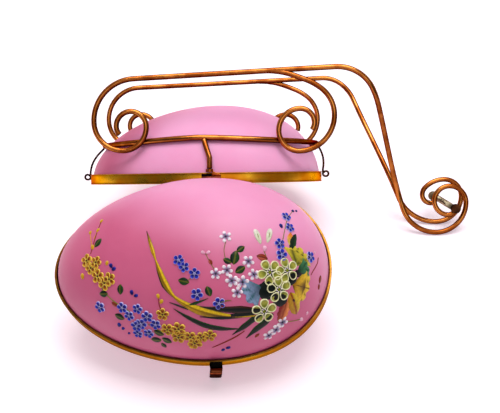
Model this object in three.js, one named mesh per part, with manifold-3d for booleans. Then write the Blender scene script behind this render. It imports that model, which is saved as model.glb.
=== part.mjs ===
// Egg trinket box on a wire push-sleigh stand, in millimetres, +Z up.
// The box is a pink glass egg cut along its long axis into a bowl and a lid, each held in a gilt
// bezel. It stands upside down and wide open, like a tent: the lid slopes to the front, the bowl
// slopes to the back with its wire stand in the air, and the handle's scrolls reach the floor.
// The origin is at the bottom centre of the whole part, and the long axis of the egg runs along X.

import * as THREE from 'three';
import { mergeVertices } from 'three/addons/utils/BufferGeometryUtils.js';
import Module from 'manifold-3d';

const wasm = await Module();
wasm.setup();

// The egg, measured over the bezels
const EGG_LENGTH = 150;
const EGG_WIDTH = 105.9;
const EGG_BLUNTNESS = 0.1187;
const EGG_FULLNESS = 0.0135;
const DOME_HEIGHT = 50;
const GLASS_WALL = 2.8;

// Clearances
const SEAT_GAP = 0.3;
const CLOSING_GAP = 0.3;
const RUNNING_GAP = 0.3;

// Bezels
const BEZEL_HEIGHT = 6.4;
const BEZEL_WALL = 1.2;
const BEAD_DEPTH = 0.5;
const BEAD_HEIGHT = 2;
const FLANGE_THICKNESS = 0.9;
const FLANGE_REACH = 0.8;

// Hinge
const OPENING_ANGLE = 120;
const HINGE_X = 7.9;
const HINGE_WIDTH = 11;
const MIDDLE_KNUCKLE = 4.4;
const KNUCKLE_RADIUS = 2.1;
const PIN_RADIUS = 0.9;
const PIN_CLEARANCE = 0.15;
const PIN_HEAD_RADIUS = 1.5;
const PIN_HEAD_LENGTH = 0.8;
const LEAF_THICKNESS = 0.9;
const LEAF_HEIGHT = 4.3;

// Catch
const CATCH_X = 14.2;
const CATCH_WIDTH = 6.4;
const CATCH_THICKNESS = 1.3;
const CATCH_REACH = 15.2;
const CATCH_CURL_RADIUS = 1.5;
const CATCH_CLEARANCE = 0.5;
const STUD_RADIUS = 1.1;
const STUD_TIP_RADIUS = 0.8;
const STUD_HEIGHT = 0.7;

// Wires of the stand
const WIRE_DIAMETER = 3.1;
const HOOP_DIAMETER = 3.4;
const HOOP_HEIGHT = 27.2;
const HOOP_DIP = 2.8;
const HOOP_DIP_POWER = 1.5;
const HOOP_STANDOFF = 3;
const HOOP_STANDOFF_POWER = 6;
const RUNNER_SLOPE = 2.3;

// Posts, stays and their feet
const POST_DIAMETER = 3.1;
const POST_TOP_X = 3;
const POST_FOOT_X = 7;
const POST_BEND = 0.65;
const COLLAR_RADIUS = 2.2;
const COLLAR_HEIGHT = 1.8;
const STAY_DIAMETER = 1.1;
const STAY_BOW = 1;
const STAY_EYE_RADIUS = 1.6;
const STAY_EYE_HEIGHT = 4.8;
const STAY_EYE_RUN = 0.8;

// Handle
const BAR_DIAMETER = 4;
const BAR_CAP_DIAMETER = 6.2;
const BAR_CAP_THICKNESS = 2;

// How finely the curved shapes are divided
const GLASS_STATIONS = 40;
const GLASS_STEPS = 14;
const BEZEL_STATIONS = 60;
const HOOP_STATIONS = 56;
const WIRE_SIDES = 8;
const WIRE_STEP_ANGLE = 15;
const LEG_STEPS = 5;
const POST_STEPS = 6;
const STAY_STEPS = 6;
const POST_SIDES = 16;
const BAR_SIDES = 20;
const KNUCKLE_SIDES = 24;
const SEARCH_STEPS = 50;
const MERGE_TOLERANCE = 1e-3;

// The two sides of the stand, with each bend as a radius and the degrees turned
const SIDES = {
  near: {
    way: -1,
    handleY: 1,
    runnerHeight: 64.7,
    frontX: -39,
    front: [[25.2, 90], [17.3, 90], [14, 90], [9.2, 90], [8.8, 90], [7, 40]],
    rearX: 39.9,
    rearRun: 9,
    rear: [[37, 40], [20, 50], [21.2, 90], [12.3, 90], [12.9, 90], [8.5, 90], [7, 40]],
    bendX: 81.4,
    bend: [24.1, 64.7],
    easeRadius: 55.7,
    legAngle: 72.9,
    scroll: [[22.3, 72.9], [19.2, 90], [10.6, 90], [9.6, 90], [9, 90], [4, 90]],
  },
  far: {
    way: 1,
    handleY: 10,
    runnerHeight: 68.3,
    frontX: -49.5,
    front: [[22, 90], [19, 90], [13, 90], [9.5, 90], [8, 90], [7, 40]],
    rearX: 34.8,
    rearRun: 9,
    rear: [[36, 40], [20, 50], [20.5, 90], [13, 90], [10.8, 90], [8.8, 90], [7, 25]],
    bendX: 77.8,
    bend: [20.9, 43.7],
    easeRadius: 26.4,
    legAngle: 68.7,
    scroll: [[26.3, 68.7], [16.6, 90], [11.1, 90], [17.4, 45], [6.8, 45], [5.5, 90], [2.8, 130]],
  },
};

const WIRE_RADIUS = WIRE_DIAMETER / 2;
const HOOP_RADIUS = HOOP_DIAMETER / 2;
const POST_RADIUS = POST_DIAMETER / 2;
const STAY_RADIUS = STAY_DIAMETER / 2;

const radians = THREE.MathUtils.degToRad;

const OPAL_GLASS = { color: 0xe58cb4, roughness: 0.35, metalness: 0 };
const GILT = { color: 0xb8791c, roughness: 0.35, metalness: 1 };
const COPPER_GILT = { color: 0xbe6e32, roughness: 0.3, metalness: 1 };
const DARK_BRASS = { color: 0x6b4420, roughness: 0.5, metalness: 1 };
const PALE_BRASS = { color: 0xa8957a, roughness: 0.45, metalness: 1 };

// Merges loose triangles into one closed mesh with its faces outward
function closedGeometry(positions, indices) {
  let geometry = new THREE.BufferGeometry();
  geometry.setAttribute('position', new THREE.Float32BufferAttribute(positions, 3));
  geometry.setIndex(indices);
  geometry = mergeVertices(geometry, MERGE_TOLERANCE);
  const index = geometry.getIndex().array;
  const kept = [];
  for (let i = 0; i < index.length; i += 3) {
    const [a, b, c] = [index[i], index[i + 1], index[i + 2]];
    if (a !== b && b !== c && c !== a) kept.push(a, b, c);
  }
  geometry.setIndex(kept);
  if (signedVolume(geometry) < 0) geometry.setIndex(kept.reverse());
  geometry.computeVertexNormals();
  return geometry;
}

function signedVolume(geometry) {
  const position = geometry.getAttribute('position');
  const index = geometry.getIndex().array;
  const corners = [new THREE.Vector3(), new THREE.Vector3(), new THREE.Vector3()];
  let volume = 0;
  for (let i = 0; i < index.length; i += 3) {
    corners.forEach((corner, k) => corner.fromBufferAttribute(position, index[i + k]));
    volume += corners[0].dot(corners[1].cross(corners[2])) / 6;
  }
  return volume;
}

// Joins equal loops of points into a skin, and its last loop to the first where they form a ring
function loft(loops, isRing) {
  const count = loops[0].length;
  const positions = [];
  loops.forEach((loop) => loop.forEach((point) => positions.push(point.x, point.y, point.z)));
  const indices = [];
  const last = isRing ? loops.length : loops.length - 1;
  for (let i = 0; i < last; i += 1) {
    const next = (i + 1) % loops.length;
    for (let j = 0; j < count; j += 1) {
      const across = (j + 1) % count;
      const a = i * count + j;
      const b = next * count + j;
      const c = next * count + across;
      const d = i * count + across;
      indices.push(a, b, c, a, c, d);
    }
  }
  return closedGeometry(positions, indices);
}

function toManifold(geometry) {
  const bare = new THREE.BufferGeometry();
  bare.setAttribute('position', geometry.getAttribute('position').clone());
  if (geometry.getIndex()) bare.setIndex(geometry.getIndex().clone());
  const merged = mergeVertices(bare, MERGE_TOLERANCE);
  return new wasm.Manifold(new wasm.Mesh({
    numProp: 3,
    vertProperties: new Float32Array(merged.getAttribute('position').array),
    triVerts: new Uint32Array(merged.getIndex().array),
  }));
}

function fromManifold(solid) {
  const mesh = solid.getMesh();
  const geometry = new THREE.BufferGeometry();
  geometry.setAttribute('position', new THREE.BufferAttribute(mesh.vertProperties, 3));
  geometry.setIndex(new THREE.BufferAttribute(mesh.triVerts, 1));
  geometry.computeVertexNormals();
  return geometry;
}

function part(name, geometry, finish) {
  const mesh = new THREE.Mesh(geometry, new THREE.MeshStandardMaterial(finish));
  mesh.name = name;
  return mesh;
}

// The egg's half width at a place along its axis, given as the cosine of the station's angle
function eggHalfWidth(cosine, width) {
  const sine = Math.sqrt(Math.max(0, 1 - cosine * cosine));
  const swell = 1 + EGG_BLUNTNESS * cosine + EGG_FULLNESS * (2 * cosine * cosine - 1);
  return (width / 2) * sine * swell;
}

function widestHalfWidth(width) {
  let widest = 0;
  for (let i = 0; i <= 200; i += 1) {
    widest = Math.max(widest, eggHalfWidth(Math.cos((Math.PI * i) / 200), width));
  }
  return widest;
}

// Glass

const GLASS_FOOT = FLANGE_THICKNESS + SEAT_GAP;
const GLASS_INSET = BEZEL_WALL + SEAT_GAP;

function eggSize(growth) {
  return {
    length: EGG_LENGTH - 2 * GLASS_INSET + 2 * growth,
    width: EGG_WIDTH - 2 * GLASS_INSET + 2 * growth,
    height: DOME_HEIGHT - GLASS_FOOT + growth,
  };
}

function domePoint(size, station, around) {
  const halfWidth = eggHalfWidth(Math.cos(station), size.width);
  return new THREE.Vector3(
    (size.length / 2) * Math.cos(station),
    halfWidth * Math.cos(around),
    GLASS_FOOT + halfWidth * Math.sin(around) * (size.height / (size.width / 2)),
  );
}

function glassShell() {
  const outer = eggSize(0);
  const inner = eggSize(-GLASS_WALL);
  const loops = [];
  for (let i = 0; i <= GLASS_STATIONS; i += 1) {
    const station = (Math.PI * i) / GLASS_STATIONS;
    const outside = [];
    const inside = [];
    for (let j = 0; j <= GLASS_STEPS; j += 1) {
      const around = (Math.PI * j) / GLASS_STEPS;
      outside.push(domePoint(outer, station, around));
      inside.push(domePoint(inner, station, around));
    }
    loops.push([...outside, ...inside.reverse()]);
  }
  return loft(loops, false);
}

// Half width of the grown dome at a place along the egg and a height above the closing plane
function levelHalfWidth(growth, x, height) {
  const size = eggSize(growth);
  const cosine = THREE.MathUtils.clamp(x / (size.length / 2), -1, 1);
  const halfWidth = eggHalfWidth(cosine, size.width);
  const rise = (height - GLASS_FOOT) * (size.width / 2 / size.height);
  return Math.sqrt(Math.max(0, halfWidth * halfWidth - rise * rise));
}

// Bezels

function planPoint(angle, offset) {
  const at = (turn) => new THREE.Vector2(
    (EGG_LENGTH / 2) * Math.cos(turn),
    Math.sign(Math.sin(turn)) * eggHalfWidth(Math.cos(turn), EGG_WIDTH),
  );
  const step = 1e-3;
  const along = at(angle + step).sub(at(angle - step)).normalize();
  const point = at(angle);
  return new THREE.Vector2(point.x + along.y * offset, point.y - along.x * offset);
}

// The band round the glass has a bead at each edge, and a flange under the glass rim
function bezelRing() {
  const inner = -(GLASS_INSET + GLASS_WALL + FLANGE_REACH);
  const hollow = -BEAD_DEPTH;
  const profile = [
    [inner, 0],
    [hollow, 0],
    [0, BEAD_DEPTH],
    [0, BEAD_HEIGHT - BEAD_DEPTH],
    [hollow, BEAD_HEIGHT],
    [hollow, BEZEL_HEIGHT - BEAD_HEIGHT],
    [0, BEZEL_HEIGHT - BEAD_HEIGHT + BEAD_DEPTH],
    [0, BEZEL_HEIGHT - BEAD_DEPTH],
    [hollow, BEZEL_HEIGHT],
    [-BEZEL_WALL, BEZEL_HEIGHT],
    [-BEZEL_WALL, FLANGE_THICKNESS],
    [inner, FLANGE_THICKNESS],
  ];
  const loops = [];
  for (let i = 0; i < BEZEL_STATIONS; i += 1) {
    const angle = (2 * Math.PI * (i + 0.5)) / BEZEL_STATIONS;
    loops.push(profile.map(([offset, height]) => {
      const point = planPoint(angle, offset);
      return new THREE.Vector3(point.x, point.y, height);
    }));
  }
  return loft(loops, true);
}

// Wires: a path of stations, closer together where the wire bends

class BentWire extends THREE.Curve {
  constructor(stations) {
    super();
    this.stations = stations;
  }

  getPoint(t, target = new THREE.Vector3()) {
    const place = t * (this.stations.length - 1);
    const i = Math.min(Math.floor(place + 1e-9), this.stations.length - 2);
    return target.lerpVectors(this.stations[i], this.stations[i + 1], place - i);
  }

  getPointAt(u, target) {
    return this.getPoint(u, target);
  }

  getTangentAt(u, target = new THREE.Vector3()) {
    const i = Math.round(u * (this.stations.length - 1));
    const before = this.stations[Math.max(i - 1, 0)];
    const after = this.stations[Math.min(i + 1, this.stations.length - 1)];
    return target.subVectors(after, before).normalize();
  }
}

function wireGeometry(stations, radius) {
  const round = new THREE.Shape();
  for (let i = 0; i < WIRE_SIDES; i += 1) {
    const angle = (2 * Math.PI * (i + 0.5)) / WIRE_SIDES;
    const point = [radius * Math.cos(angle), radius * Math.sin(angle)];
    if (i === 0) round.moveTo(...point);
    else round.lineTo(...point);
  }
  const path = new BentWire(stations);
  const steps = stations.length - 1;
  const extruded = new THREE.ExtrudeGeometry(round, { steps, extrudePath: path });
  const position = extruded.getAttribute('position');
  return closedGeometry([...position.array], [...Array(position.count).keys()]);
}

// Runs and bends in a flat plane: x along the egg, z up from the closing plane
function bentRun(start, headingDegrees, moves) {
  const points = [start.clone()];
  let heading = radians(headingDegrees);
  let place = start.clone();
  moves.forEach((move) => {
    if (move.run) {
      const along = new THREE.Vector2(Math.cos(heading), Math.sin(heading));
      place = place.clone().add(along.multiplyScalar(move.run));
      points.push(place);
      return;
    }
    const turn = radians(move.turn);
    const steps = Math.max(1, Math.ceil(Math.abs(move.turn) / WIRE_STEP_ANGLE));
    const side = Math.sign(turn);
    const centre = new THREE.Vector2(-Math.sin(heading), Math.cos(heading));
    centre.multiplyScalar(side * move.radius).add(place);
    const arm = place.clone().sub(centre);
    for (let i = 1; i <= steps; i += 1) {
      points.push(arm.clone().rotateAround(new THREE.Vector2(), (turn * i) / steps).add(centre));
    }
    place = points[points.length - 1];
    heading += turn;
  });
  return points;
}

// Cuts a length off each end of a path
function trimmed(stations, fromStart, fromEnd) {
  const cut = (points, length) => {
    const rest = points.slice();
    let left = length;
    while (rest.length > 2 && rest[0].distanceTo(rest[1]) <= left) {
      left -= rest[0].distanceTo(rest[1]);
      rest.shift();
    }
    rest[0] = rest[0].clone().lerp(rest[1], left / rest[0].distanceTo(rest[1]));
    return rest;
  };
  return cut(cut(stations, fromStart).reverse(), fromEnd).reverse();
}

// Hoop round the bowl, one wire bent round and butted at the front

const HOOP_GROWTH = HOOP_RADIUS + SEAT_GAP;

// How far the grown dome reaches along a ray from its middle, at one height
function levelReach(growth, ray, height) {
  let low = 0;
  let high = EGG_LENGTH;
  for (let i = 0; i < SEARCH_STEPS; i += 1) {
    const middle = (low + high) / 2;
    const isInside = Math.abs(ray.y * middle) < levelHalfWidth(growth, ray.x * middle, height);
    if (isInside) low = middle;
    else high = middle;
  }
  return low;
}

function hoopPoint(angle) {
  const ray = new THREE.Vector2(Math.cos(angle), Math.sin(angle));
  const height = HOOP_HEIGHT - HOOP_DIP * Math.abs(ray.x) ** HOOP_DIP_POWER;
  const reach = levelReach(HOOP_GROWTH, ray, height);
  const standoff = HOOP_STANDOFF * Math.max(0, ray.x) ** HOOP_STANDOFF_POWER;
  return new THREE.Vector3(ray.x * (reach + standoff), ray.y * reach, height);
}

function hoopGeometry() {
  const stations = [];
  for (let i = 0; i <= HOOP_STATIONS; i += 1) {
    stations.push(hoopPoint(Math.PI / 2 + (2 * Math.PI * i) / HOOP_STATIONS));
  }
  return wireGeometry(trimmed(stations, SEAT_GAP / 2, SEAT_GAP / 2), HOOP_RADIUS);
}

// Where a flat scroll rests against the hoop, and how far out it then lies
function hoopTouch(scroll) {
  const reach = WIRE_RADIUS + HOOP_RADIUS + SEAT_GAP;
  const samples = 4 * HOOP_STATIONS;
  const touch = { x: 0, offset: 0 };
  for (let i = 0; i <= samples; i += 1) {
    const hoop = hoopPoint((Math.PI * i) / samples);
    scroll.forEach((point) => {
      const apart = Math.hypot(point.x - hoop.x, point.y - hoop.z);
      if (apart > reach) return;
      const offset = hoop.y + Math.sqrt(reach * reach - apart * apart);
      if (offset > touch.offset) Object.assign(touch, { x: point.x, offset });
    });
  }
  return touch;
}

// How the open box stands: the slope of the bowl, and the hinge's height over the floor

const HALF_WIDTH = widestHalfWidth(EGG_WIDTH);
const HINGE_OFFSET = KNUCKLE_RADIUS + SEAT_GAP;
const AXIS_TO_MIDDLE = HINGE_OFFSET + HALF_WIDTH;
const AXIS_TO_FRONT = HINGE_OFFSET + 2 * HALF_WIDTH;
const CATCH_STANDOFF = STUD_HEIGHT + CATCH_CLEARANCE;
const CURL_OUT = CATCH_STANDOFF + CATCH_THICKNESS + CATCH_CURL_RADIUS - CATCH_THICKNESS / 2;

function bowlDrop(slope) {
  const edge = AXIS_TO_FRONT - BEAD_DEPTH;
  return edge * Math.sin(slope) - (CLOSING_GAP / 2) * Math.cos(slope);
}

function lidDrop(slope) {
  const reach = CATCH_REACH - CLOSING_GAP / 2;
  return (AXIS_TO_FRONT + CURL_OUT) * Math.sin(slope) + reach * Math.cos(slope) + CATCH_CURL_RADIUS;
}

function standingSlope() {
  const shared = radians(180 - OPENING_ANGLE);
  let low = 0;
  let high = shared;
  for (let i = 0; i < SEARCH_STEPS; i += 1) {
    const middle = (low + high) / 2;
    if (bowlDrop(middle) < lidDrop(shared - middle)) low = middle;
    else high = middle;
  }
  return low;
}

const BOWL_SLOPE = standingSlope();
const LID_SLOPE = radians(180 - OPENING_ANGLE) - BOWL_SLOPE;
const HINGE_HEIGHT = bowlDrop(BOWL_SLOPE);

// Height in the bowl's frame at which a wire of the stand reaches the floor
function floorHeight(y) {
  const drop = HINGE_HEIGHT - WIRE_RADIUS - (AXIS_TO_MIDDLE + y) * Math.sin(BOWL_SLOPE);
  return -drop / Math.cos(BOWL_SLOPE) - CLOSING_GAP / 2;
}

// One side of the stand: the runner with its front scroll and its handle, and the rear scroll

function turns(bends, way) {
  return bends.map(([radius, turn]) => ({ radius, turn: way * turn }));
}

function standSide(side) {
  const slope = radians(RUNNER_SLOPE);
  const runnerAt = (x) => new THREE.Vector2(x, side.runnerHeight + x * Math.tan(slope));
  const front = bentRun(runnerAt(side.frontX), 180 + RUNNER_SLOPE, turns(side.front, 1));

  const rearStart = runnerAt(side.rearX).sub(new THREE.Vector2(0, WIRE_DIAMETER + SEAT_GAP));
  const rearMoves = [{ run: side.rearRun }, ...turns(side.rear, -1)];
  const rear = bentRun(rearStart, RUNNER_SLOPE, rearMoves);

  const easeTurn = side.legAngle + RUNNER_SLOPE - side.bend[1];
  const bends = turns([side.bend, [side.easeRadius, easeTurn]], -1);
  const probe = bentRun(runnerAt(side.bendX), RUNNER_SLOPE, [...bends, ...turns(side.scroll, 1)]);
  const lowest = Math.min(...probe.map((point) => point.y));
  const leg = (lowest - floorHeight(side.handleY)) / Math.sin(radians(side.legAngle));
  const legMoves = [...bends, ...Array(LEG_STEPS).fill({ run: leg / LEG_STEPS })];
  const handleMoves = [...legMoves, ...turns(side.scroll, 1)];
  const handle = bentRun(runnerAt(side.bendX), RUNNER_SLOPE, handleMoves);
  const legPoints = bentRun(runnerAt(side.bendX), RUNNER_SLOPE, legMoves);

  // The side's plane follows the places where its two scrolls rest against the hoop
  const frontTouch = hoopTouch(front);
  const rearTouch = hoopTouch(rear);
  const planeOffset = (x) => {
    const share = THREE.MathUtils.clamp((x - frontTouch.x) / (rearTouch.x - frontTouch.x), 0, 1);
    return side.way * THREE.MathUtils.lerp(frontTouch.offset, rearTouch.offset, share);
  };
  const place = (point) => new THREE.Vector3(point.x, planeOffset(point.x), point.y);

  // Down the leg, each side leans in to the handle
  const legTop = legPoints[0].y;
  const legFoot = legPoints.at(-1).y;
  const handlePlace = (point, i) => {
    const fallen = THREE.MathUtils.smoothstep(legTop - point.y, 0, legTop - legFoot);
    const share = i < legPoints.length ? fallen : 1;
    const y = THREE.MathUtils.lerp(planeOffset(side.bendX), side.handleY, share);
    return new THREE.Vector3(point.x, y, point.y);
  };
  return {
    main: [...front.reverse().map(place), ...handle.map(handlePlace)],
    rear: rear.map(place),
  };
}

// Posts and end stays

function postStations(way) {
  const growth = COLLAR_RADIUS + SEAT_GAP;
  const footHeight = BEZEL_HEIGHT + SEAT_GAP + COLLAR_HEIGHT + SEAT_GAP;
  const stations = [];
  for (let i = 0; i <= POST_STEPS; i += 1) {
    const height = THREE.MathUtils.lerp(HOOP_HEIGHT, footHeight, i / POST_STEPS);
    const bend = Math.min(1, i / POST_STEPS / POST_BEND);
    const x = THREE.MathUtils.lerp(POST_TOP_X, POST_FOOT_X, bend);
    stations.push(new THREE.Vector3(x, way * levelHalfWidth(growth, x, height), height));
  }
  return trimmed(stations, HOOP_RADIUS + SEAT_GAP, 0);
}

function collar(name, way) {
  const radius = COLLAR_RADIUS;
  const geometry = new THREE.CylinderGeometry(radius, radius, COLLAR_HEIGHT, POST_SIDES);
  const mesh = part(name, geometry, GILT);
  const height = BEZEL_HEIGHT + SEAT_GAP + COLLAR_HEIGHT / 2;
  const growth = COLLAR_RADIUS + SEAT_GAP;
  mesh.rotation.x = Math.PI / 2;
  mesh.position.set(POST_FOOT_X, way * levelHalfWidth(growth, POST_FOOT_X, height), height);
  return mesh;
}

// A stay follows the end of the dome from the hoop down to an eye beside the bezel
function stayStations(way) {
  const tip = hoopPoint(way > 0 ? 0 : Math.PI);
  const ray = new THREE.Vector2(way, 0);
  const footX = EGG_LENGTH / 2 + SEAT_GAP + STAY_RADIUS;
  const footHeight = BEZEL_HEIGHT + STAY_DIAMETER;
  const domeX = (height) => levelReach(STAY_RADIUS + SEAT_GAP, ray, height);
  const tipStandoff = Math.abs(tip.x) - domeX(tip.z);
  const footStandoff = footX - domeX(footHeight);
  const points = [];
  for (let i = 0; i < STAY_STEPS; i += 1) {
    const share = i / STAY_STEPS;
    const height = THREE.MathUtils.lerp(tip.z, footHeight, share);
    const standoff = THREE.MathUtils.lerp(tipStandoff, footStandoff, share);
    const bow = STAY_BOW * Math.sin(Math.PI * share);
    points.push(new THREE.Vector2(domeX(height) + standoff + bow, height));
  }
  const eye = [
    { run: footHeight - STAY_EYE_HEIGHT },
    { radius: STAY_EYE_RADIUS, turn: 90 },
    { run: STAY_EYE_RUN },
    { radius: STAY_EYE_RADIUS, turn: 180 },
    { run: STAY_EYE_RUN / 2 },
  ];
  points.push(...bentRun(new THREE.Vector2(footX, footHeight), -90, eye));
  const stations = points.map((point) => new THREE.Vector3(way * point.x, 0, point.y));
  return trimmed(stations, HOOP_RADIUS + SEAT_GAP, 0);
}

// Handle bar from wire to wire, its ends cut parallel to the scrolls, with a disc outside each wire

function handleBar(nearEnd, farEnd) {
  const radius = BAR_DIAMETER / 2;
  const length = 2 * farEnd.distanceTo(nearEnd);
  const rod = new THREE.CylinderGeometry(radius, radius, length, BAR_SIDES);
  const along = farEnd.clone().sub(nearEnd).normalize();
  rod.applyQuaternion(new THREE.Quaternion().setFromUnitVectors(new THREE.Vector3(0, 1, 0), along));
  const middle = nearEnd.clone().lerp(farEnd, 0.5);
  rod.translate(middle.x, middle.y, middle.z);
  const clear = WIRE_RADIUS + SEAT_GAP;
  const low = new THREE.Vector3(middle.x - length, nearEnd.y + clear, middle.z - length);
  const high = new THREE.Vector3(middle.x + length, farEnd.y - clear, middle.z + length);
  const solid = toManifold(rod).intersect(toManifold(block(low, high)));
  return part('handle_bar', fromManifold(solid), PALE_BRASS);
}

function barCap(name, end, way) {
  const radius = BAR_CAP_DIAMETER / 2;
  const disc = new THREE.CylinderGeometry(radius, radius, BAR_CAP_THICKNESS, BAR_SIDES);
  const mesh = part(name, disc, DARK_BRASS);
  mesh.position.copy(end);
  mesh.position.y += way * (WIRE_RADIUS + SEAT_GAP + BAR_CAP_THICKNESS / 2);
  return mesh;
}

// Hinge: two leaves on the outer faces of the bezels, knuckled on one pin

function knuckle(length, radius, x) {
  const geometry = new THREE.CylinderGeometry(radius, radius, length, KNUCKLE_SIDES);
  geometry.rotateZ(Math.PI / 2);
  geometry.translate(x, 0, 0);
  return geometry;
}

function block(low, high) {
  const size = high.clone().sub(low);
  const geometry = new THREE.BoxGeometry(size.x, size.y, size.z);
  geometry.translate(low.x + size.x / 2, low.y + size.y / 2, low.z + size.z / 2);
  return geometry;
}

const OUTER_KNUCKLE = (HINGE_WIDTH - MIDDLE_KNUCKLE) / 2 - RUNNING_GAP;
const OUTER_KNUCKLE_X = MIDDLE_KNUCKLE / 2 + RUNNING_GAP + OUTER_KNUCKLE / 2;

// The leaf lies on the side of the axis named by way, and its knuckles are given by centre and length
function hingeLeaf(knuckles, way) {
  const face = way * (HINGE_OFFSET - SEAT_GAP);
  const back = face - way * LEAF_THICKNESS;
  const [nearY, farY] = [Math.min(face, back), Math.max(face, back)];
  const foot = KNUCKLE_RADIUS + RUNNING_GAP;
  const plate = block(
    new THREE.Vector3(-HINGE_WIDTH / 2, nearY, foot),
    new THREE.Vector3(HINGE_WIDTH / 2, farY, LEAF_HEIGHT),
  );
  let solid = toManifold(plate);
  knuckles.forEach(([x, length]) => {
    const tongue = block(
      new THREE.Vector3(x - length / 2, nearY, 0),
      new THREE.Vector3(x + length / 2, farY, LEAF_HEIGHT),
    );
    solid = solid.add(toManifold(tongue)).add(toManifold(knuckle(length, KNUCKLE_RADIUS, x)));
  });
  solid = solid.subtract(toManifold(knuckle(2 * HINGE_WIDTH, PIN_RADIUS + PIN_CLEARANCE, 0)));
  return fromManifold(solid);
}

function hingePin() {
  const reach = OUTER_KNUCKLE_X + OUTER_KNUCKLE / 2 + RUNNING_GAP;
  const headX = reach + PIN_HEAD_LENGTH / 2;
  const solid = toManifold(knuckle(2 * reach + PIN_HEAD_LENGTH, PIN_RADIUS, 0))
    .add(toManifold(knuckle(PIN_HEAD_LENGTH, PIN_HEAD_RADIUS, headX)))
    .add(toManifold(knuckle(PIN_HEAD_LENGTH, PIN_HEAD_RADIUS, -headX)));
  return fromManifold(solid);
}

// Catch: a strip folded over the lid's bezel, with a curled end below the closing plane

function catchGeometry() {
  const width = CATCH_WIDTH;
  const strip = block(
    new THREE.Vector3(-width / 2, CATCH_STANDOFF, -CATCH_REACH),
    new THREE.Vector3(width / 2, CATCH_STANDOFF + CATCH_THICKNESS, BEZEL_HEIGHT),
  );
  const pad = block(
    new THREE.Vector3(-width / 2, SEAT_GAP, BEAD_DEPTH),
    new THREE.Vector3(width / 2, CATCH_STANDOFF + CATCH_THICKNESS / 2, BEZEL_HEIGHT),
  );
  const curl = knuckle(width, CATCH_CURL_RADIUS, 0);
  curl.translate(0, CURL_OUT, -CATCH_REACH);
  return fromManifold(toManifold(strip).add(toManifold(pad)).add(toManifold(curl)));
}

function studGeometry() {
  const geometry = new THREE.CylinderGeometry(STUD_TIP_RADIUS, STUD_RADIUS, STUD_HEIGHT, POST_SIDES);
  geometry.translate(0, STUD_HEIGHT / 2, 0);
  return geometry;
}

// Assembly. Each half is built about the middle of its closing plane, then hung from the hinge.

const bowlHalf = new THREE.Group();
bowlHalf.position.set(0, AXIS_TO_MIDDLE, CLOSING_GAP / 2);
bowlHalf.add(part('bowl_glass', glassShell(), OPAL_GLASS));
bowlHalf.add(part('bowl_bezel', bezelRing(), GILT));
bowlHalf.add(part('belt_hoop', hoopGeometry(), GILT));

const sides = { near: standSide(SIDES.near), far: standSide(SIDES.far) };
Object.entries(sides).forEach(([name, side]) => {
  bowlHalf.add(part(`${name}_runner`, wireGeometry(side.main, WIRE_RADIUS), COPPER_GILT));
  bowlHalf.add(part(`${name}_rear_scroll`, wireGeometry(side.rear, WIRE_RADIUS), COPPER_GILT));
});
const nearEnd = sides.near.main.at(-1);
const farEnd = sides.far.main.at(-1);
bowlHalf.add(handleBar(nearEnd, farEnd));
bowlHalf.add(barCap('near_bar_cap', nearEnd, -1), barCap('far_bar_cap', farEnd, 1));

bowlHalf.add(part('hinge_post', wireGeometry(postStations(-1), POST_RADIUS), GILT));
bowlHalf.add(part('front_post', wireGeometry(postStations(1), POST_RADIUS), GILT));
bowlHalf.add(collar('hinge_post_collar', -1), collar('front_post_collar', 1));
bowlHalf.add(part('thin_end_stay', wireGeometry(stayStations(-1), STAY_RADIUS), DARK_BRASS));
bowlHalf.add(part('blunt_end_stay', wireGeometry(stayStations(1), STAY_RADIUS), DARK_BRASS));

const stud = part('catch_stud', studGeometry(), GILT);
stud.position.set(CATCH_X, HALF_WIDTH + SEAT_GAP - BEAD_DEPTH, BEZEL_HEIGHT / 2);
bowlHalf.add(stud);

const lidHalf = new THREE.Group();
lidHalf.position.set(0, -AXIS_TO_MIDDLE, CLOSING_GAP / 2);
lidHalf.add(part('lid_glass', glassShell(), OPAL_GLASS));
lidHalf.add(part('lid_bezel', bezelRing(), GILT));

const lidCatch = part('lid_catch', catchGeometry(), DARK_BRASS);
lidCatch.position.set(CATCH_X, -HALF_WIDTH, 0);
lidCatch.rotation.z = Math.PI;
lidHalf.add(lidCatch);

const outerKnuckles = [[-OUTER_KNUCKLE_X, OUTER_KNUCKLE], [OUTER_KNUCKLE_X, OUTER_KNUCKLE]];
const bowlLeaf = part('bowl_hinge_leaf', hingeLeaf(outerKnuckles, 1), DARK_BRASS);
const lidLeaf = part('lid_hinge_leaf', hingeLeaf([[0, MIDDLE_KNUCKLE]], -1), DARK_BRASS);
const pin = part('hinge_pin', hingePin(), DARK_BRASS);
[bowlLeaf, lidLeaf, pin].forEach((piece) => {
  piece.position.x = HINGE_X;
});

const bowlSide = new THREE.Group();
bowlSide.rotation.x = -BOWL_SLOPE;
bowlSide.add(bowlHalf, bowlLeaf, pin);

const lidSide = new THREE.Group();
lidSide.rotation.x = LID_SLOPE;
lidSide.add(lidHalf, lidLeaf);

const box = new THREE.Group();
box.add(bowlSide, lidSide);
box.updateMatrixWorld(true);
const bounds = new THREE.Box3().setFromObject(box, true);
const middle = bounds.getCenter(new THREE.Vector3());
box.position.set(-middle.x, -middle.y, -bounds.min.z);

const group = new THREE.Group();
group.add(box);

export default group;
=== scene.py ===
# Looks of the pink glass egg box on its wire sleigh stand, upside down and open.
# Lengths are in millimetres until a mesh is placed, and the frame and every object are in metres.

import math

import bmesh
import bpy
import numpy as np
from mathutils import Matrix, Vector


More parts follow.
